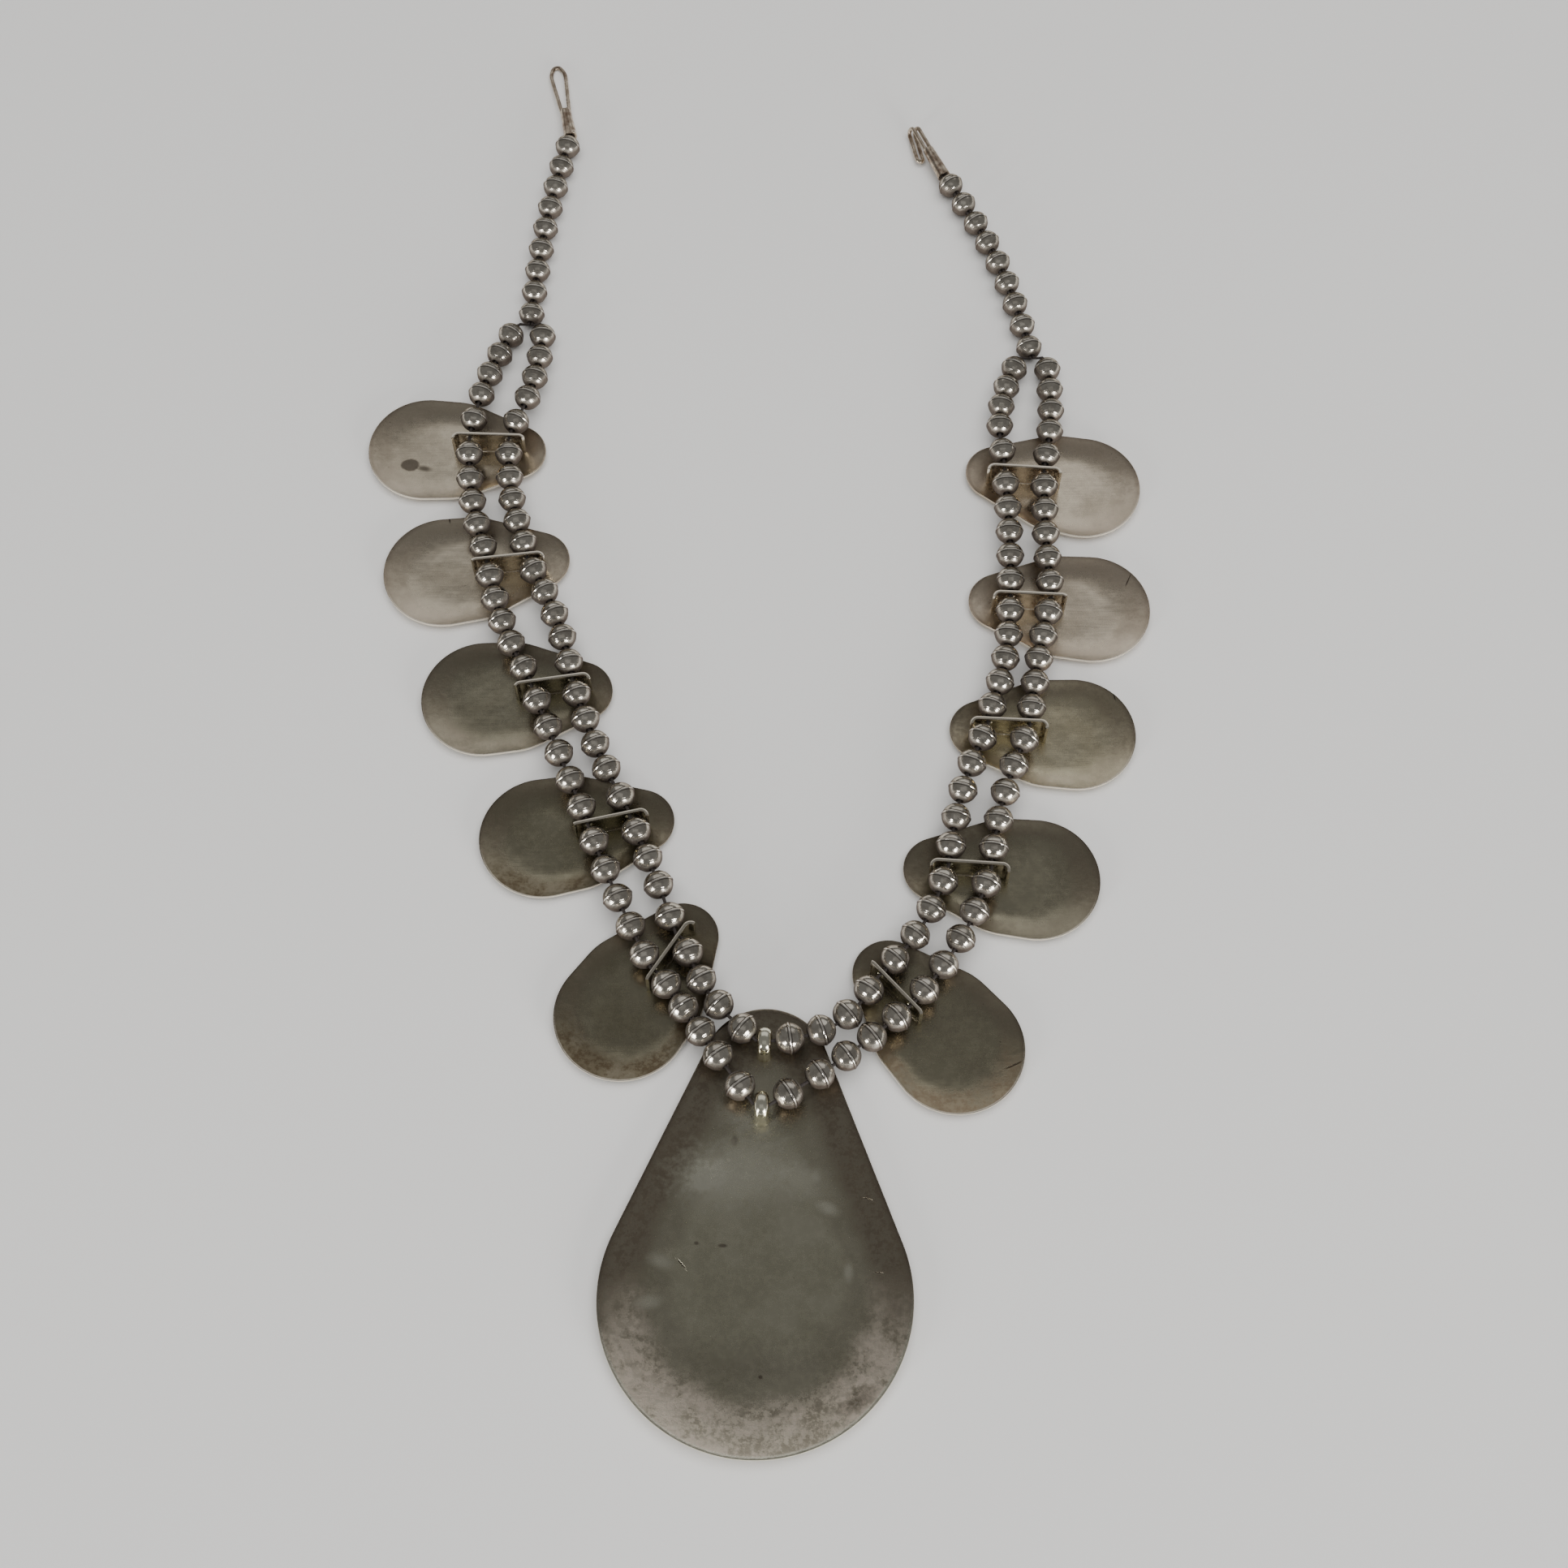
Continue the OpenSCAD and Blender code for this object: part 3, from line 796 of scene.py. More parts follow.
@dataclass
class Strip:
    """Bracket of sheet on a small drop's back, with a hole for each strand and both ends bent round.

    foot gives the height of its base by distance from its middle, and rise is the height of the drop's back
    over that. bends are degrees, at the drop's tip and its wide end, towards +Y or, if mirrored, -Y.
    """

    foot: Callable[[float], float]
    rise: float
    bends: tuple
    mirrored: bool
    place: Matrix
    length: float = 19.5
    sheet: float = 0.8
    bend_r: float = 1.6
    hole_d: float = 2.2
    spacing: float = 10.4
    hole_z: float = 6.82
    top: float = 8.72
    hole_steps: int = 28
    bend_steps: int = 10
    base_steps: int = 12
    solder_steps: int = 26
    solder_r: float = 0.34
    solder_lump: float = 0.16
    worn_edge: float = 0.16

    @property
    def straight(self) -> float:
        """Half the length between the bends."""
        return self.length / 2 - self.bend_r - self.sheet / 2

    def build(self, bm: BMesh) -> None:
        """Adds the bracket to a mesh."""
        own = bmesh.new()
        face_y = -self.sheet / 2
        steps = [self.straight * (2 * i / self.base_steps - 1) for i in range(self.base_steps + 1)]
        points = [(s, self.foot(s)) for s in steps] + [(self.straight, self.top), (-self.straight, self.top)]
        closed_line(own, [(x, face_y, z) for x, z in points])
        for end in (-1, 1):
            turned = Matrix.Translation((end * self.spacing / 2, face_y, self.hole_z))
            bmesh.ops.create_circle(
                own, cap_ends=False, segments=self.hole_steps, radius=self.hole_d / 2,
                matrix=turned @ Matrix.Rotation(math.pi / 2, 4, "X"),
            )
        bmesh.ops.triangle_fill(
            own, use_beauty=True, use_dissolve=False, edges=own.edges[:], normal=(0, -1, 0)
        )
        for end, bend in zip((-1, 1), self.bends):
            line = end * self.straight
            side = [e for e in own.edges if all(abs(v.co.x - line) < TOUCH for v in e.verts)]
            ends = list({vert for e in side for vert in e.verts})
            bmesh.ops.spin(
                own, geom=ends + side, cent=(line, self.bend_r, 0), axis=(0, 0, 1), dvec=(0, 0, 0),
                angle=end * math.radians(bend), steps=self.bend_steps, use_merge=False, use_duplicate=False,
            )
        facing_out(own)
        middle = min(own.faces, key=lambda f: abs(f.calc_center_median().x))
        if middle.normal.y > 0:
            bmesh.ops.reverse_faces(own, faces=own.faces[:])
        bmesh.ops.solidify(own, geom=own.faces[:], thickness=self.sheet)
        facing_out(own)
        soften(own, 0.1, 2, 60.0)
        if self.mirrored:
            bmesh.ops.scale(own, vec=(1, -1, 1), verts=own.verts[:])
            facing_out(own)
        layer = own.verts.layers.float.new("worn")
        for vert in own.verts:
            vert[layer] = 0.8 if vert.co.z > self.top - self.worn_edge else 0.0
        absorb(bm, own, self.place)

    def solder(self, bm: BMesh) -> None:
        """Adds to a mesh the lumpy run of solder along the bracket's base."""
        for lie in (-1, 1):
            aside = lie * self.sheet / 2 * (-1 if self.mirrored else 1)
            run = np.linspace(-self.straight, self.straight, self.solder_steps)
            path = [Vector((s, aside, self.foot(s) + self.rise)) for s in run]
            shift = self.place.translation

            def radius(share: float) -> float:
                """Radius of the run, with lumps that taper off at its ends."""
                lump = noise.noise(Vector((share * 9.0, lie * 3.0, shift.x * 0.37 + shift.y * 0.11)))
                taper = 0.35 + 0.65 * math.sin(math.pi * share) ** 0.4
                return (self.solder_r + self.solder_lump * lump) * taper

            own = bmesh.new()
            loft(own, tube_rings(path, radius, 10, UP))
            facing_out(own)
            paint(own, "share", SOLDERED)
            absorb(bm, own, self.place)


@dataclass
class SmallDrop:
    """Small drop with its bracket.

    tip and middle are the places of its tip and of the bracket, turn and strip_turn their turns in degrees,
    and size its size as a share of the lengths below.
    """

    node: str
    side: Side
    tip: tuple
    turn: float
    size: float
    middle: tuple
    strip_turn: float
    bends: tuple
    finish: SheetFinish
    length: float = 48.0
    width: float = 31.6
    tip_r: float = 8.5
    shoulder: tuple = (0.53, 0.975)

    def make(self) -> Object:
        """Builds and dresses the drop."""
        place = placed(*self.tip, self.turn)
        circles = [
            (self.tip_r, self.tip_r),
            (self.shoulder[0] * self.length, self.shoulder[1] * self.width / 2),
            (self.length - self.width / 2, self.width / 2),
        ]
        plate = Plate(
            circles=[(c * self.size, r * self.size) for c, r in circles], length=self.length * self.size,
            low=self.length * self.size / 2, dish=1.8, tip_lift=0.8, sheet=0.9, place=place,
        )
        start = (Vector((*self.middle, 0.0)) - Vector((*self.tip, 0.0))).dot(heading(self.turn))
        rate = heading(self.strip_turn).dot(heading(self.turn))

        def foot(s: float) -> float:
            """Height of the bracket's base, in the middle of the sheet."""
            return plate.back(start + rate * s) - plate.sheet / 2

        spot = placed(*self.middle, self.strip_turn)
        strip = Strip(foot, plate.sheet / 2, self.bends, self.side is Side.RIGHT, spot)
        bm = layered(SHEET_LAYERS)
        plate.build(bm)
        strip.build(bm)
        strip.solder(bm)
        return publish(self.node + "_silver", bm, self.finish.make(), self.node)


@dataclass
class MainDrop:
    """Large drop with the two loops that hold it to the strands.

    lowest is where its dish is lowest, as a share of its length, loops the loops' distances from its tip and
    aside how far they lie off its axis. wire is the loops' thickness and width.
    """

    finish: SheetFinish
    node: str = "main_drop"
    tip: tuple = (4.2, -92.3)
    turn: float = -92.3
    length: float = 105.0
    width: float = 71.6
    tip_r: float = 15.0
    lowest: float = 0.56
    loops: tuple = (9.5, 25.0)
    aside: float = -0.5
    loop_r: float = 2.2
    loop_z: float = 5.72
    wire: tuple = (1.2, 3.3)
    foot_spread: float = 1.35
    leg_steps: int = 10
    arch_steps: int = 24
    around: int = 20
    bumps: Sequence[Bump] = ()

    def loop(self, bm: BMesh, plate: Plate, s: float) -> None:
        """Adds a loop of half-round wire, with legs that spread into their solder.

        Args:
            bm: the mesh that it is added to.
            plate: the plate that it stands on.
            s: its distance from the tip.
        """
        thick, wide = self.wire
        climbs = [i / self.leg_steps for i in range(self.leg_steps)]
        stations = [(-1, climb, 0.0) for climb in climbs]
        stations += [(0, 0.0, math.pi * (1 - i / self.arch_steps)) for i in range(self.arch_steps + 1)]
        stations += [(1, climb, 0.0) for climb in reversed(climbs)]
        rings = []
        for leg, climb, turn in stations:
            if leg:
                ground = plate.back(s + leg * self.loop_r) - plate.sheet / 2
                out = Vector((leg, 0.0, 0.0))
                base = Vector((s + leg * self.loop_r, self.aside, ground + (self.loop_z - ground) * climb))
                spread = math.exp(-climb * 6.0)
            else:
                out = Vector((math.cos(turn), 0.0, math.sin(turn)))
                base = Vector((s, self.aside, self.loop_z)) + out * self.loop_r
                spread = 0.0
            half = wide / 2 * (1 + spread * (self.foot_spread - 1))
            high = thick * (1 + spread * 0.5)
            rings.append([
                base + out * max(math.sin(a), 0.0) * high + Vector((0, math.cos(a) * half, 0))
                for a in turns(self.around)
            ])
        own = bmesh.new()
        loft(own, rings)
        bmesh.ops.remove_doubles(own, verts=own.verts[:], dist=TOUCH)
        facing_out(own)
        paint(own, "worn", WORN)
        absorb(bm, own, plate.place)

    def make(self) -> Object:
        """Builds and dresses the drop."""
        place = placed(*self.tip, self.turn)
        plate = Plate(
            circles=[(self.tip_r, self.tip_r), (self.length - self.width / 2, self.width / 2)],
            length=self.length, low=self.lowest * self.length, dish=3.2, tip_lift=0.4, sheet=1.0, place=place,
            points=260, relief=0.16, bumps=self.bumps,
        )
        bm = layered(SHEET_LAYERS)
        plate.build(bm)
        for s in self.loops:
            self.loop(bm, plate, s)
        return publish("main_drop_silver", bm, self.finish.make(), self.node)


@dataclass
class BeadString:
    """String of hollow beads of two domed halves, in the places of the frame's own beads.

    share is a bead's length as a share of its width. dented and crumpled are depths of dents, as shares of
    the width, and beads from crumpled_from on are crumpled.
    """

    node: str
    finish: BeadFinish
    source: Object
    seam_rise: float = 0.12
    seam_w: float = 0.4
    ridge: tuple = ((0.08, 0.5), (0.75, 0.34), (1.0, 0.12))
    share: float = 0.94
    wall: float = 0.5
    hole_r: float = 1.0
    sunk: float = 0.03
    sunk_w: float = 0.3
    seam_reach: float = 0.62
    around: int = 36
    along: int = 22
    inside: int = 5
    dented: float = 0.018
    crumpled: float = 0.034
    crumpled_from: float = 7.35

    def places(self) -> list[tuple[Vector, Vector, float]]:
        """Middle, axis and diameter of each of the frame's beads, in millimetres."""
        bm = bmesh.new()
        bm.from_mesh(self.source.data)
        bmesh.ops.scale(bm, vec=(1 / MM,) * 3, verts=bm.verts[:])
        bmesh.ops.remove_doubles(bm, verts=bm.verts[:], dist=1e-3)
        bmesh.ops.triangulate(bm, faces=bm.faces[:])
        found, seen = [], set()
        for start in bm.faces:
            if start in seen:
                continue
            island, queue = [], [start]
            seen.add(start)
            while queue:
                face = queue.pop()
                island.append(face)
                for edge in face.edges:
                    for other in edge.link_faces:
                        if other not in seen:
                            seen.add(other)
                            queue.append(other)
            centres = np.array([face.calc_center_median() for face in island])
            areas = np.array([face.calc_area() for face in island])
            middle = (centres * areas[:, None]).sum(0) / areas.sum()
            off = centres - middle
            spread, axes = np.linalg.eigh((off * areas[:, None]).T @ off)
            axis = axes[:, int(np.argmax(np.abs(spread - np.median(spread))))]
            far = max((Vector(middle) - vert.co).length for face in island for vert in face.verts)
            radius = math.sqrt(far**2 - (self.seam_w / 2) ** 2) - self.seam_rise
            found.append((Vector(middle), Vector(axis), 2 * radius))
        bm.free()
        return found

    def profile(self, d: float) -> list[tuple[float, float]]:
        """Half section of a bead, as distance from its axis and place along it, from hole to hole and back.

        Args:
            d: the bead's diameter.

        Returns:
            The section's points.
        """
        ball = (d / self.share + d * self.share) / 4
        apart = (d / self.share - d * self.share) / 4

        def dome(r: float, steps: int, sunk: float) -> list[tuple[float, float]]:
            """Dome from its hole to its widest place, with the hole's edge sunk."""
            mouth = math.asin(self.hole_r / r)
            span = math.acos(apart / r) - mouth
            points = []
            for i in range(steps + 1):
                a = mouth + span * i / steps
                dip = sunk * math.exp(-((a - mouth) * r / self.sunk_w) ** 2)
                points.append((r * math.sin(a), r * math.cos(a) - apart - dip))
            return points

        outer = dome(ball, self.along // 2, self.sunk)[:-1]
        ridge = [(d / 2 + self.seam_rise * rise, self.seam_w * off) for rise, off in self.ridge]
        half = [p for p in outer if p[1] > self.seam_w * self.seam_reach] + ridge
        inner = dome(ball - self.wall, self.inside, 0.0)[:-1]
        inner = inner + [(x, -z) for x, z in reversed(inner)]
        return half + [(x, -z) for x, z in reversed(half)] + [(x, z) for x, z in reversed(inner)]

    def bead(self, number: int, middle: Vector, axis: Vector, d: float) -> BMesh:
        """Builds one bead with its own small dents.

        Args:
            number: its number on the string.
            middle: its middle.
            axis: its axis.
            d: its diameter.

        Returns:
            The bead.
        """
        own = layered(BEAD_LAYERS)
        along, tone, low = (own.verts.layers.float[name] for name in BEAD_LAYERS)
        section = self.profile(d)
        bmesh.ops.spin(
            own, geom=closed_line(own, [(x, 0.0, z) for x, z in section]), cent=(0, 0, 0), axis=(0, 0, 1),
            dvec=(0, 0, 0), angle=2 * math.pi, steps=self.around, use_merge=True, use_duplicate=False,
        )
        facing_out(own)
        shift = Vector((number * 3.7, len(self.node) * 1.3 + number * 0.9, middle.y * 0.13))
        shade = 0.5 + 0.5 * noise.noise(shift * 1.7)
        depth = self.dented if d < self.crumpled_from else self.crumpled
        for vert in own.verts:
            vert[along] = vert.co.z / section[0][1]
            vert[tone] = shade
            if vert.co.length > (self.share * d - self.wall) / 2:
                broad, small = (noise.noise(vert.co / (d * size) + shift) for size in (0.42, 0.2))
                vert.co *= 1 - depth * max(broad * 0.6 + small * 0.4 + 0.25, 0.0)
        turn = UP.rotation_difference(axis).to_matrix().to_4x4()
        bmesh.ops.transform(own, matrix=Matrix.Translation(middle) @ turn, verts=own.verts[:])
        for vert in own.verts:
            vert[low] = (vert.co.z - middle.z) / (d / 2)
        return own

    def make(self) -> Object:
        """Builds and dresses the string."""
        bm = layered(BEAD_LAYERS)
        places = self.places()
        for number, (middle, axis, d) in enumerate(places):
            absorb(bm, self.bead(number, middle, axis, d))
        sizes = [d for _, _, d in places]
        log.info("%s: %d beads of %.2f to %.2f mm", self.node, len(places), min(sizes), max(sizes))
        return publish(self.node + "_silver", bm, self.finish.make(), self.node)


@dataclass
class Clasp:
    """Shank and wire that both halves of the clasp share."""

    node: str
    finish: WireFinish
    place: tuple
    wire_r: float = 0.575
    shank_l: float = 10.5
    shank_w: float = 3.7
    shank_t: float = 3.0
    bore_r: float = 1.0
    end_z: float = 3.57
    rest_clear: float = 0.02
    collar: float = 0.25
    slit: float = 0.18
    slit_turn: float = 0.16
    wrap: float = 0.7
    around: int = 40
    parts: int = 12
    sides: int = 18
    steps: int = 22

    @property
    def tip_w(self) -> float:
        """Width of the shank where the wires leave it."""
        return 4 * self.wire_r + self.wrap

    @property
    def root_y(self) -> float:
        """Distance of a wire from the middle where it leaves the shank."""
        return self.tip_w / 2 - self.wire_r

    @property
    def root_s(self) -> float:
        """Distance from the thread's end at which the wires start."""
        return self.shank_l - 4 * self.wire_r

    def shank(self, bm: BMesh) -> None:
        """Adds the shank: sheet wrapped round the wires' ends, flattened, with its bore and its slit."""
        parts = [i / self.parts for i in range(1, self.parts + 1)]
        stations = [(0.0, self.shank_w), (self.collar, self.shank_w)]
        stations += [(self.shank_l * at, self.shank_w + (self.tip_w - self.shank_w) * at) for at in parts]
        bore = [(s, 2 * self.bore_r) for s in (self.shank_l / 3, 0.0)]
        rings = []
        for s, w in bore:
            r = w / 2
            rings.append([Vector((s, r * math.cos(a), r * math.sin(a))) for a in turns(self.around)])
        for s, w in stations:
            ring = []
            for a in turns(self.around):
                z = max(-self.shank_t / 2, min(self.shank_t / 2, w / 2 * math.sin(a)))
                slit = self.slit * math.exp(-((a - math.pi / 2) / self.slit_turn) ** 2)
                ring.append(Vector((s, w / 2 * math.cos(a), z - slit)))
            rings.append(ring)
        own = bmesh.new()
        loft(own, rings)
        facing_out(own)
        soften(own, 0.12, 2, 55.0)
        absorb(bm, own)

    def tilt(self) -> float:
        """Downward tilt that lays the far end on the surface, in radians."""
        raise NotImplementedError

    def wires(self, bm: BMesh) -> None:
        """Adds the wires."""
        raise NotImplementedError

    def make(self) -> Object:
        """Builds and dresses the half."""
        bm = bmesh.new()
        self.shank(bm)
        self.wires(bm)
        x, y, turn = self.place
        place = placed(x, y, turn, self.end_z) @ Matrix.Rotation(self.tilt(), 4, "Y")
        bmesh.ops.transform(bm, matrix=place, verts=bm.verts[:])
        return publish(self.node + "_silver", bm, self.finish.make(), self.node)

    def wire(self, bm: BMesh, path: Sequence[Vector], matrix: Matrix | None = None) -> None:
        """Adds a round wire along a path.

        Args:
            bm: the mesh that it is added to.
            path: its middle.
            matrix: a turn of the finished wire.
        """
        own = bmesh.new()
        loft(own, tube_rings(path, lambda share: self.wire_r - self.rest_clear / 2, self.sides, UP))
        facing_out(own)
        absorb(bm, own, matrix)


@dataclass
class ClaspEye(Clasp):
    """Slim eye of one bent wire."""

    length: float = 29.0
    width: float = 5.2
    end_r: float = 1.3
    point: float = 2.8

    def tilt(self) -> float:
        """Downward tilt that lays the far end on the surface, in radians."""
        return math.asin((self.end_z - self.wire_r - self.rest_clear) / (self.length - self.wire_r))

    def wires(self, bm: BMesh) -> None:
        """Adds the eye's wire: two long arcs and a small end arc, mirrored."""
        half_w = self.width / 2 - self.wire_r
        side_r = (self.point**2 + half_w**2 - self.end_r**2) / 2 / (half_w - self.end_r)
        wide_s = self.length - self.wire_r - self.end_r - self.point
        end_turn = math.asin(self.point / (side_r - self.end_r))
        run, rise = wide_s - self.root_s, self.root_y + side_r - half_w
        leg_turn = math.atan2(run, rise) - math.acos(side_r / math.hypot(run, rise))
        half = [Vector((self.root_s, self.root_y, 0))]
        for i in range(self.steps + 1):
            a = math.pi / 2 + leg_turn - (leg_turn + end_turn) * i / self.steps
            half.append(Vector((wide_s + side_r * math.cos(a), half_w - side_r + side_r * math.sin(a), 0)))
        for i in range(1, self.steps + 1):
            a = (math.pi / 2 - end_turn) * (1 - i / self.steps)
            end_s = wide_s + self.point + self.end_r * math.cos(a)
            half.append(Vector((end_s, self.end_r * math.sin(a), 0)))
        other = [Vector((p.x, -p.y, p.z)) for p in reversed(half[:-1])]
        self.wire(bm, half + other)


@dataclass
class ClaspHook(Clasp):
    """Hook of one doubled wire, bent back under itself."""

    length: float = 20.0
    gap: float = 1.8
    turned: float = 8.5
    lean: float = 20.0
    splay: float = 13.0

    @property
    def bend_r(self) -> float:
        """Radius of its bend, to the middle of the wire."""
        return self.gap / 2 + self.wire_r

    @property
    def bend_s(self) -> float:
        """Distance of its bend from the thread's end."""
        return self.length - self.bend_r - self.wire_r

    def tilt(self) -> float:
        """Downward tilt that lays the far end on the surface, in radians."""
        lean = math.radians(self.lean)
        drop = 2 * self.bend_r * math.cos(lean) + self.root_y * math.sin(lean)
        return math.asin((self.end_z - self.wire_r - self.rest_clear - drop) / self.bend_s)

    def half(self, aside: float) -> list[Vector]:
        """One of its two forward wires, up to and round the bend."""
        path = [Vector((self.root_s, aside, 0))]
        for i in range(self.steps + 1):
            a = math.pi / 2 - math.pi * i / self.steps
            s, z = self.bend_s + self.bend_r * math.cos(a), self.bend_r * (math.sin(a) - 1)
            path.append(Vector((s, aside, z)))
        return path

    def wires(self, bm: BMesh) -> None:
        """Adds the doubled wire with the fold at its end."""
        splay = math.radians(self.splay)
        back = Vector((-math.cos(splay), math.sin(splay), 0))
        across = Vector((-back.y, back.x, 0)) * -self.root_y
        fold = Vector((self.bend_s, 0, -2 * self.bend_r)) + back * self.turned
        half_turn = [math.pi * i / self.steps for i in range(self.steps + 1)]
        folded = [fold + across * math.cos(a) + back * self.root_y * math.sin(a) for a in half_turn]
        path = self.half(self.root_y) + folded + self.half(-self.root_y)[::-1]
        self.wire(bm, path, Matrix.Rotation(math.radians(self.lean), 4, "X"))


# Studio


@dataclass(frozen=True)
class SoftLight:
    """Area light that faces the middle of the necklace. Lengths in metres."""

    name: str
    at: tuple
    size: tuple
    radiance: float
    seen_in_metal: bool = True

    def make(self) -> None:
        """Adds the light."""
        data = bpy.data.lights.new(self.name, "AREA")
        data.shape = "RECTANGLE"
        data.size, data.size_y = self.size
        data.energy = self.radiance * math.pi * self.size[0] * self.size[1]
        lamp = link(self.name, data)
        lamp.location = self.at
        lamp.rotation_euler = (-Vector(self.at)).to_track_quat("-Z", "Y").to_euler()
        lamp.visible_glossy = self.seen_in_metal


@dataclass(frozen=True)
class Studio:
    """Plain pale floor, soft light and the camera at the photograph's angle. Lengths in metres."""

    camera_at: tuple = (0.0079, -0.2804, 0.532)
    camera_tip: float = 25.0
    lens: float = 54.04
    floor_size: float = 4.0
    floor_gap: float = 0.00002
    ambient: tuple = (0.155, 0.155, 0.155)
    lights: tuple = (
        SoftLight("overhead", (0.2, -0.1, 2.0), (2.4, 2.4), 2.8, seen_in_metal=False),
        SoftLight("back_wall", (0.1, 1.45, 1.2), (2.8, 1.35), 0.42),
        SoftLight("ceiling", (0.0, -0.95, 1.9), (1.8, 1.1), 0.12),
        SoftLight("window_left", (-0.90, -1.11, 0.36), (0.28, 0.56), 18.0),
        SoftLight("window_right", (0.80, -1.20, 0.30), (0.50, 0.5), 18.0),
    )

    def make(self) -> None:
        """Builds the stage."""
        world = bpy.data.worlds.new("studio")
        world.use_nodes = True
        world.node_tree.nodes["Background"].inputs[0].default_value = (*self.ambient, 1.0)
        bpy.context.scene.world = world
        for light in self.lights:
            light.make()
        bm = bmesh.new()
        bmesh.ops.create_grid(bm, x_segments=1, y_segments=1, size=self.floor_size / 2)
        bmesh.ops.translate(bm, vec=(0, 0, -self.floor_gap), verts=bm.verts[:])
        mesh = bpy.data.meshes.new("floor")
        bm.to_mesh(mesh)
        bm.free()
        link("floor", mesh, FloorFinish().make())
        data = bpy.data.cameras.new("camera")
        data.lens, data.sensor_width = self.lens, 36.0
        camera = link("camera", data)
        camera.location = self.camera_at
        camera.rotation_euler = (math.radians(self.camera_tip), 0.0, 0.0)
        bpy.context.scene.camera = camera


# Lighter copies of the sheet for the far drops, painted sheen where their place catches more reflected light.
PAINTED_SHEEN = {"light": (0.82, 0.73, 0.57), "dark": (0.60, 0.52, 0.40), "browned": 0.4, "rim": (0.36, 0.29, 0.22)}
PAINTED_SHEEN_STRONG = {"light": (0.98, 0.86, 0.68), "dark": (0.76, 0.65, 0.50), "browned": 0.4, "rim": (0.36, 0.28, 0.21)}
DEEP = {
    "light": (0.48, 0.445, 0.32), "dark": (0.34, 0.31, 0.21), "frost": (0.19, 0.145, 0.09), "frosted": 1.0
}
YELLOW = {"light": (0.86, 0.78, 0.56), "dark": (0.60, 0.53, 0.36)}
GREY = {"light": (0.56, 0.52, 0.38), "frost": (0.40, 0.34, 0.26), "frosted": 0.5}
BROWN = {"light": (0.56, 0.52, 0.37), "frost": (0.36, 0.27, 0.18), "frosted": 0.9}


def small_drops() -> list[SmallDrop]:
    """The ten small drops.

    Each row holds the drop's tip, turn and size, its bracket's place, turn and bends, and its looks.
    """
    rows = {
        Side.LEFT: (
            ((-55.3, 63.7), 178, 0.985, (-70, 65.5), 178, (60, 90), PAINTED_SHEEN | {"stains": (
                Mark(-91.5, 60.7, 5.4, 4.2, 0, 0.75), Mark(-87.6, 59.6, 5.5, 2.4, -8, 0.2))}),
            ((-47.8, 32), 188.5, 1.01, (-63.5, 28.5), 187, (80, 45), PAINTED_SHEEN | {"lines": (
                Mark(-79.7, 43.2, 0.5, 3.2, 8, 0.3),)}),
            ((-35.4, -6.8), 185, 1.01, (-50.5, -7), 189, (90, 60), {}),
            ((-19.2, -41.8), 191, 1.01, (-35, -45), 193, (100, 30), DEEP),
            ((-11.5, -66.8), 235, 1.035, (-20, -80), 237, (90, 30), DEEP),
        ),
        Side.RIGHT: (
            ((56.1, 59.1), -11.5, 0.965, (71, 55.5), -4, (90, 90), PAINTED_SHEEN_STRONG),
            ((55.4, 19.3), -5.5, 0.975, (71, 17.5), -3, (90, 50), PAINTED_SHEEN_STRONG | {"lines": (
                Mark(96.9, 24.8, 0.4, 5.2, -24, 0.3),)}),
            ((49.4, -18), -3, 0.975, (64, -18.5), -3, (90, 110), YELLOW | {"lines": (
                Mark(91.3, -8.9, 0.4, 3.6, 8, 0.3),)}),
            ((37, -55.4), -6.5, 1.005, (53, -57), -4, (90, 110), GREY),
            ((27.3, -76.9), -50, 1.03, (34.5, -89), -48, (30, 45), BROWN | {"lines": (
                Mark(61.8, -106.3, 6.4, 0.6, 22, 0.3),)}),
        ),
    }
    drops = []
    for side, places in rows.items():
        for number, (*shape, looks) in enumerate(places, 1):
            finish = SheetFinish(f"sheet_{side.value}_{number}", **looks)
            drops.append(SmallDrop(f"{side.value}_drop_{number}", side, *shape, finish))
    return drops


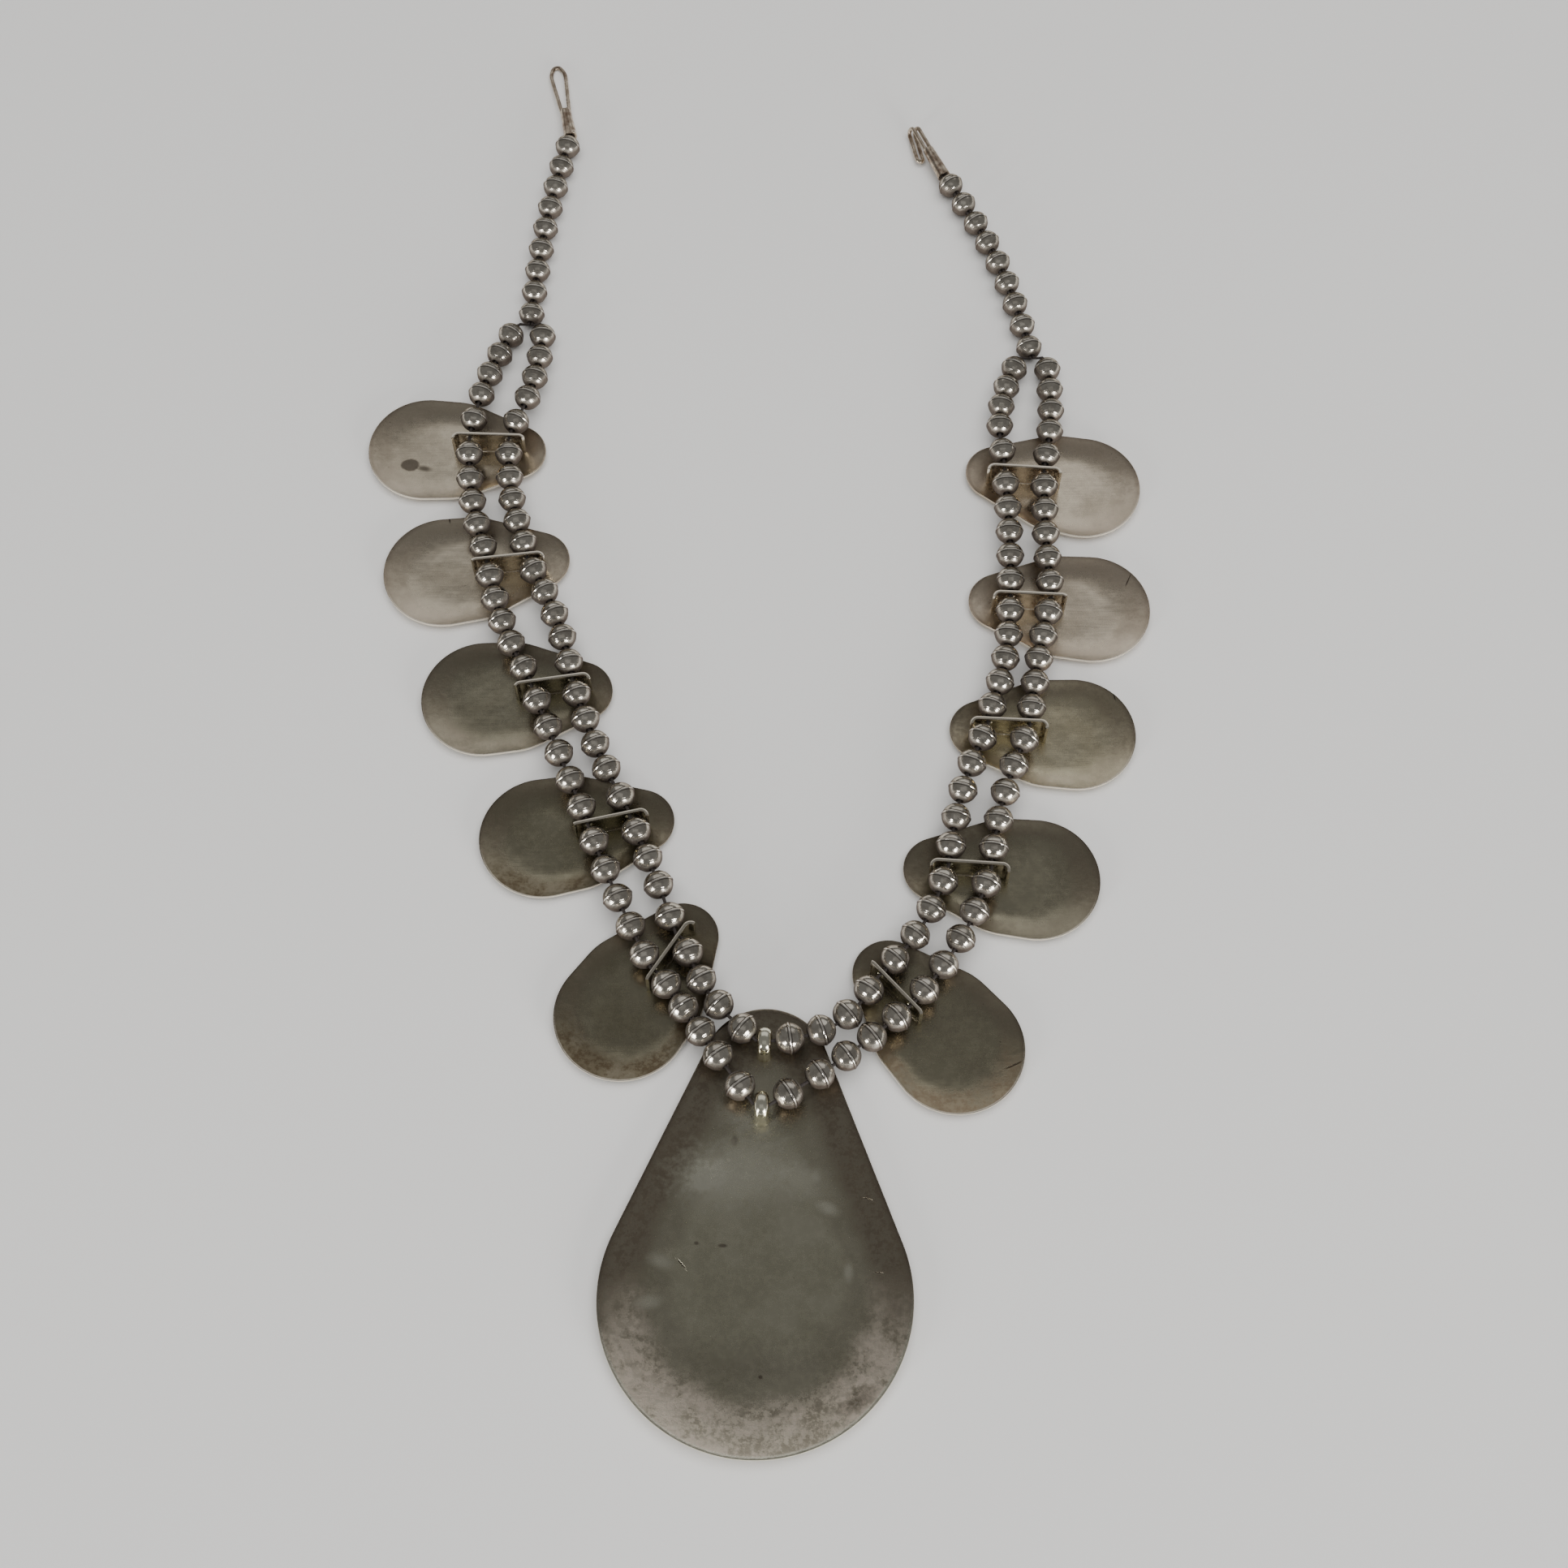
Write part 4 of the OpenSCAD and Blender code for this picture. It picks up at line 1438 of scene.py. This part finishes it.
def main_finish() -> SheetFinish:
    """Finish of the main drop, with its stains, painted highlight patches on its dents and scratches."""
    return SheetFinish(
        "sheet_main", light=(0.74, 0.705, 0.54), dark=(0.52, 0.495, 0.365), bright=(1.0, 0.97, 0.79),
        frost=(1.0, 0.87, 0.72), frosted=1.0, ring=0.25, browned=0.85,
        stains=(
            Mark(-3.6, -124.4, 2.6, 3.6), Mark(-4.9, -128.9, 1.2, 1.2), Mark(-12.1, -148.4, 1.6, 1.2),
            Mark(-6.2, -149.0, 3.0, 1.2), Mark(2.7, -178.6, 1.4, 1.2),
            Mark(24.5, -184.0, 17.0, 7.0, 38, 0.0, 1.0, 0.6),
            Mark(33.0, -163.0, 7.0, 26.0, 0, 0.0, 1.0, 0.4),
            Mark(2.0, -175.0, 40.0, 14.0, 0, 0.0, 1.0, 0.2),
        ),
        highlight_patches=(
            Mark(-10.1, -132.9, 13.0, 9.5, 20, 0.2, 1.0),
            Mark(-3.0, -132.0, 38.0, 24.0, 10, 0.1, 1.0, 0.75),
            Mark(18.0, -140.5, 8.0, 4.6, -25, 0.0, 0.9),
            Mark(12.0, -134.0, 20.0, 12.0, -20, 0.0, 1.0, 0.5),
            Mark(-22.5, -162.0, 9.0, 5.0, 10, 0.0, 0.9, 0.6),
            Mark(-20.0, -152.7, 9.0, 5.0, -20, 0.0, 0.9, 0.6),
            Mark(22.5, -155.1, 3.4, 7.0, 0, 0.0, 0.9, 0.7),
            Mark(15.0, -132.5, 5.0, 5.0, 0, 0.0, 0.9, 0.4),
            Mark(0.0, -118.0, 18.0, 12.0, 0, 0.0, 0.8, 0.7),
        ),
        lines=(
            Mark(-15.4, -153.2, 5.2, 0.6, -48, 0.3), Mark(27.1, -138.4, 3.0, 0.3, -20, 0.3, 0.1),
            Mark(29.3, -155.3, 2.8, 0.3, -8, 0.3, 0.1),
        ),
    )


MAIN_BUMPS = (
    Bump(-10.1, -132.9, 6.4, 0.42), Bump(18.0, -140.5, 4.2, 0.28), Bump(-22.5, -162.0, 4.5, 0.25),
    Bump(-18.0, -152.7, 4.5, 0.38), Bump(22.5, -155.1, 3.6, 0.22),
)


def main() -> None:
    """Builds every piece around the frame."""
    logging.basicConfig(level=logging.INFO, format="%(message)s")
    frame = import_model()
    Studio().make()
    for drop in small_drops():
        drop.make()
    MainDrop(main_finish(), bumps=MAIN_BUMPS).make()
    for node in ("outer_beads_left", "outer_beads_right", "inner_beads_left", "inner_beads_right"):
        BeadString(node, BeadFinish("beads_" + node), frame["nodes"][node]).make()
    ClaspEye("clasp_eye", WireFinish("wire_eye"), (-52.7, 168.9, 101)).make()
    ClaspHook("clasp_hook", WireFinish("wire_hook"), (53.0, 154.8, 114)).make()
    cord = CordFinish("cord").make()
    for node in ("outer_thread", "inner_thread"):
        piece = frame["nodes"][node]
        piece.material_slots[0].material = cord
        log.info("%s: the frame's own solid, dressed", node)


if __name__ == "__main__":
    main()
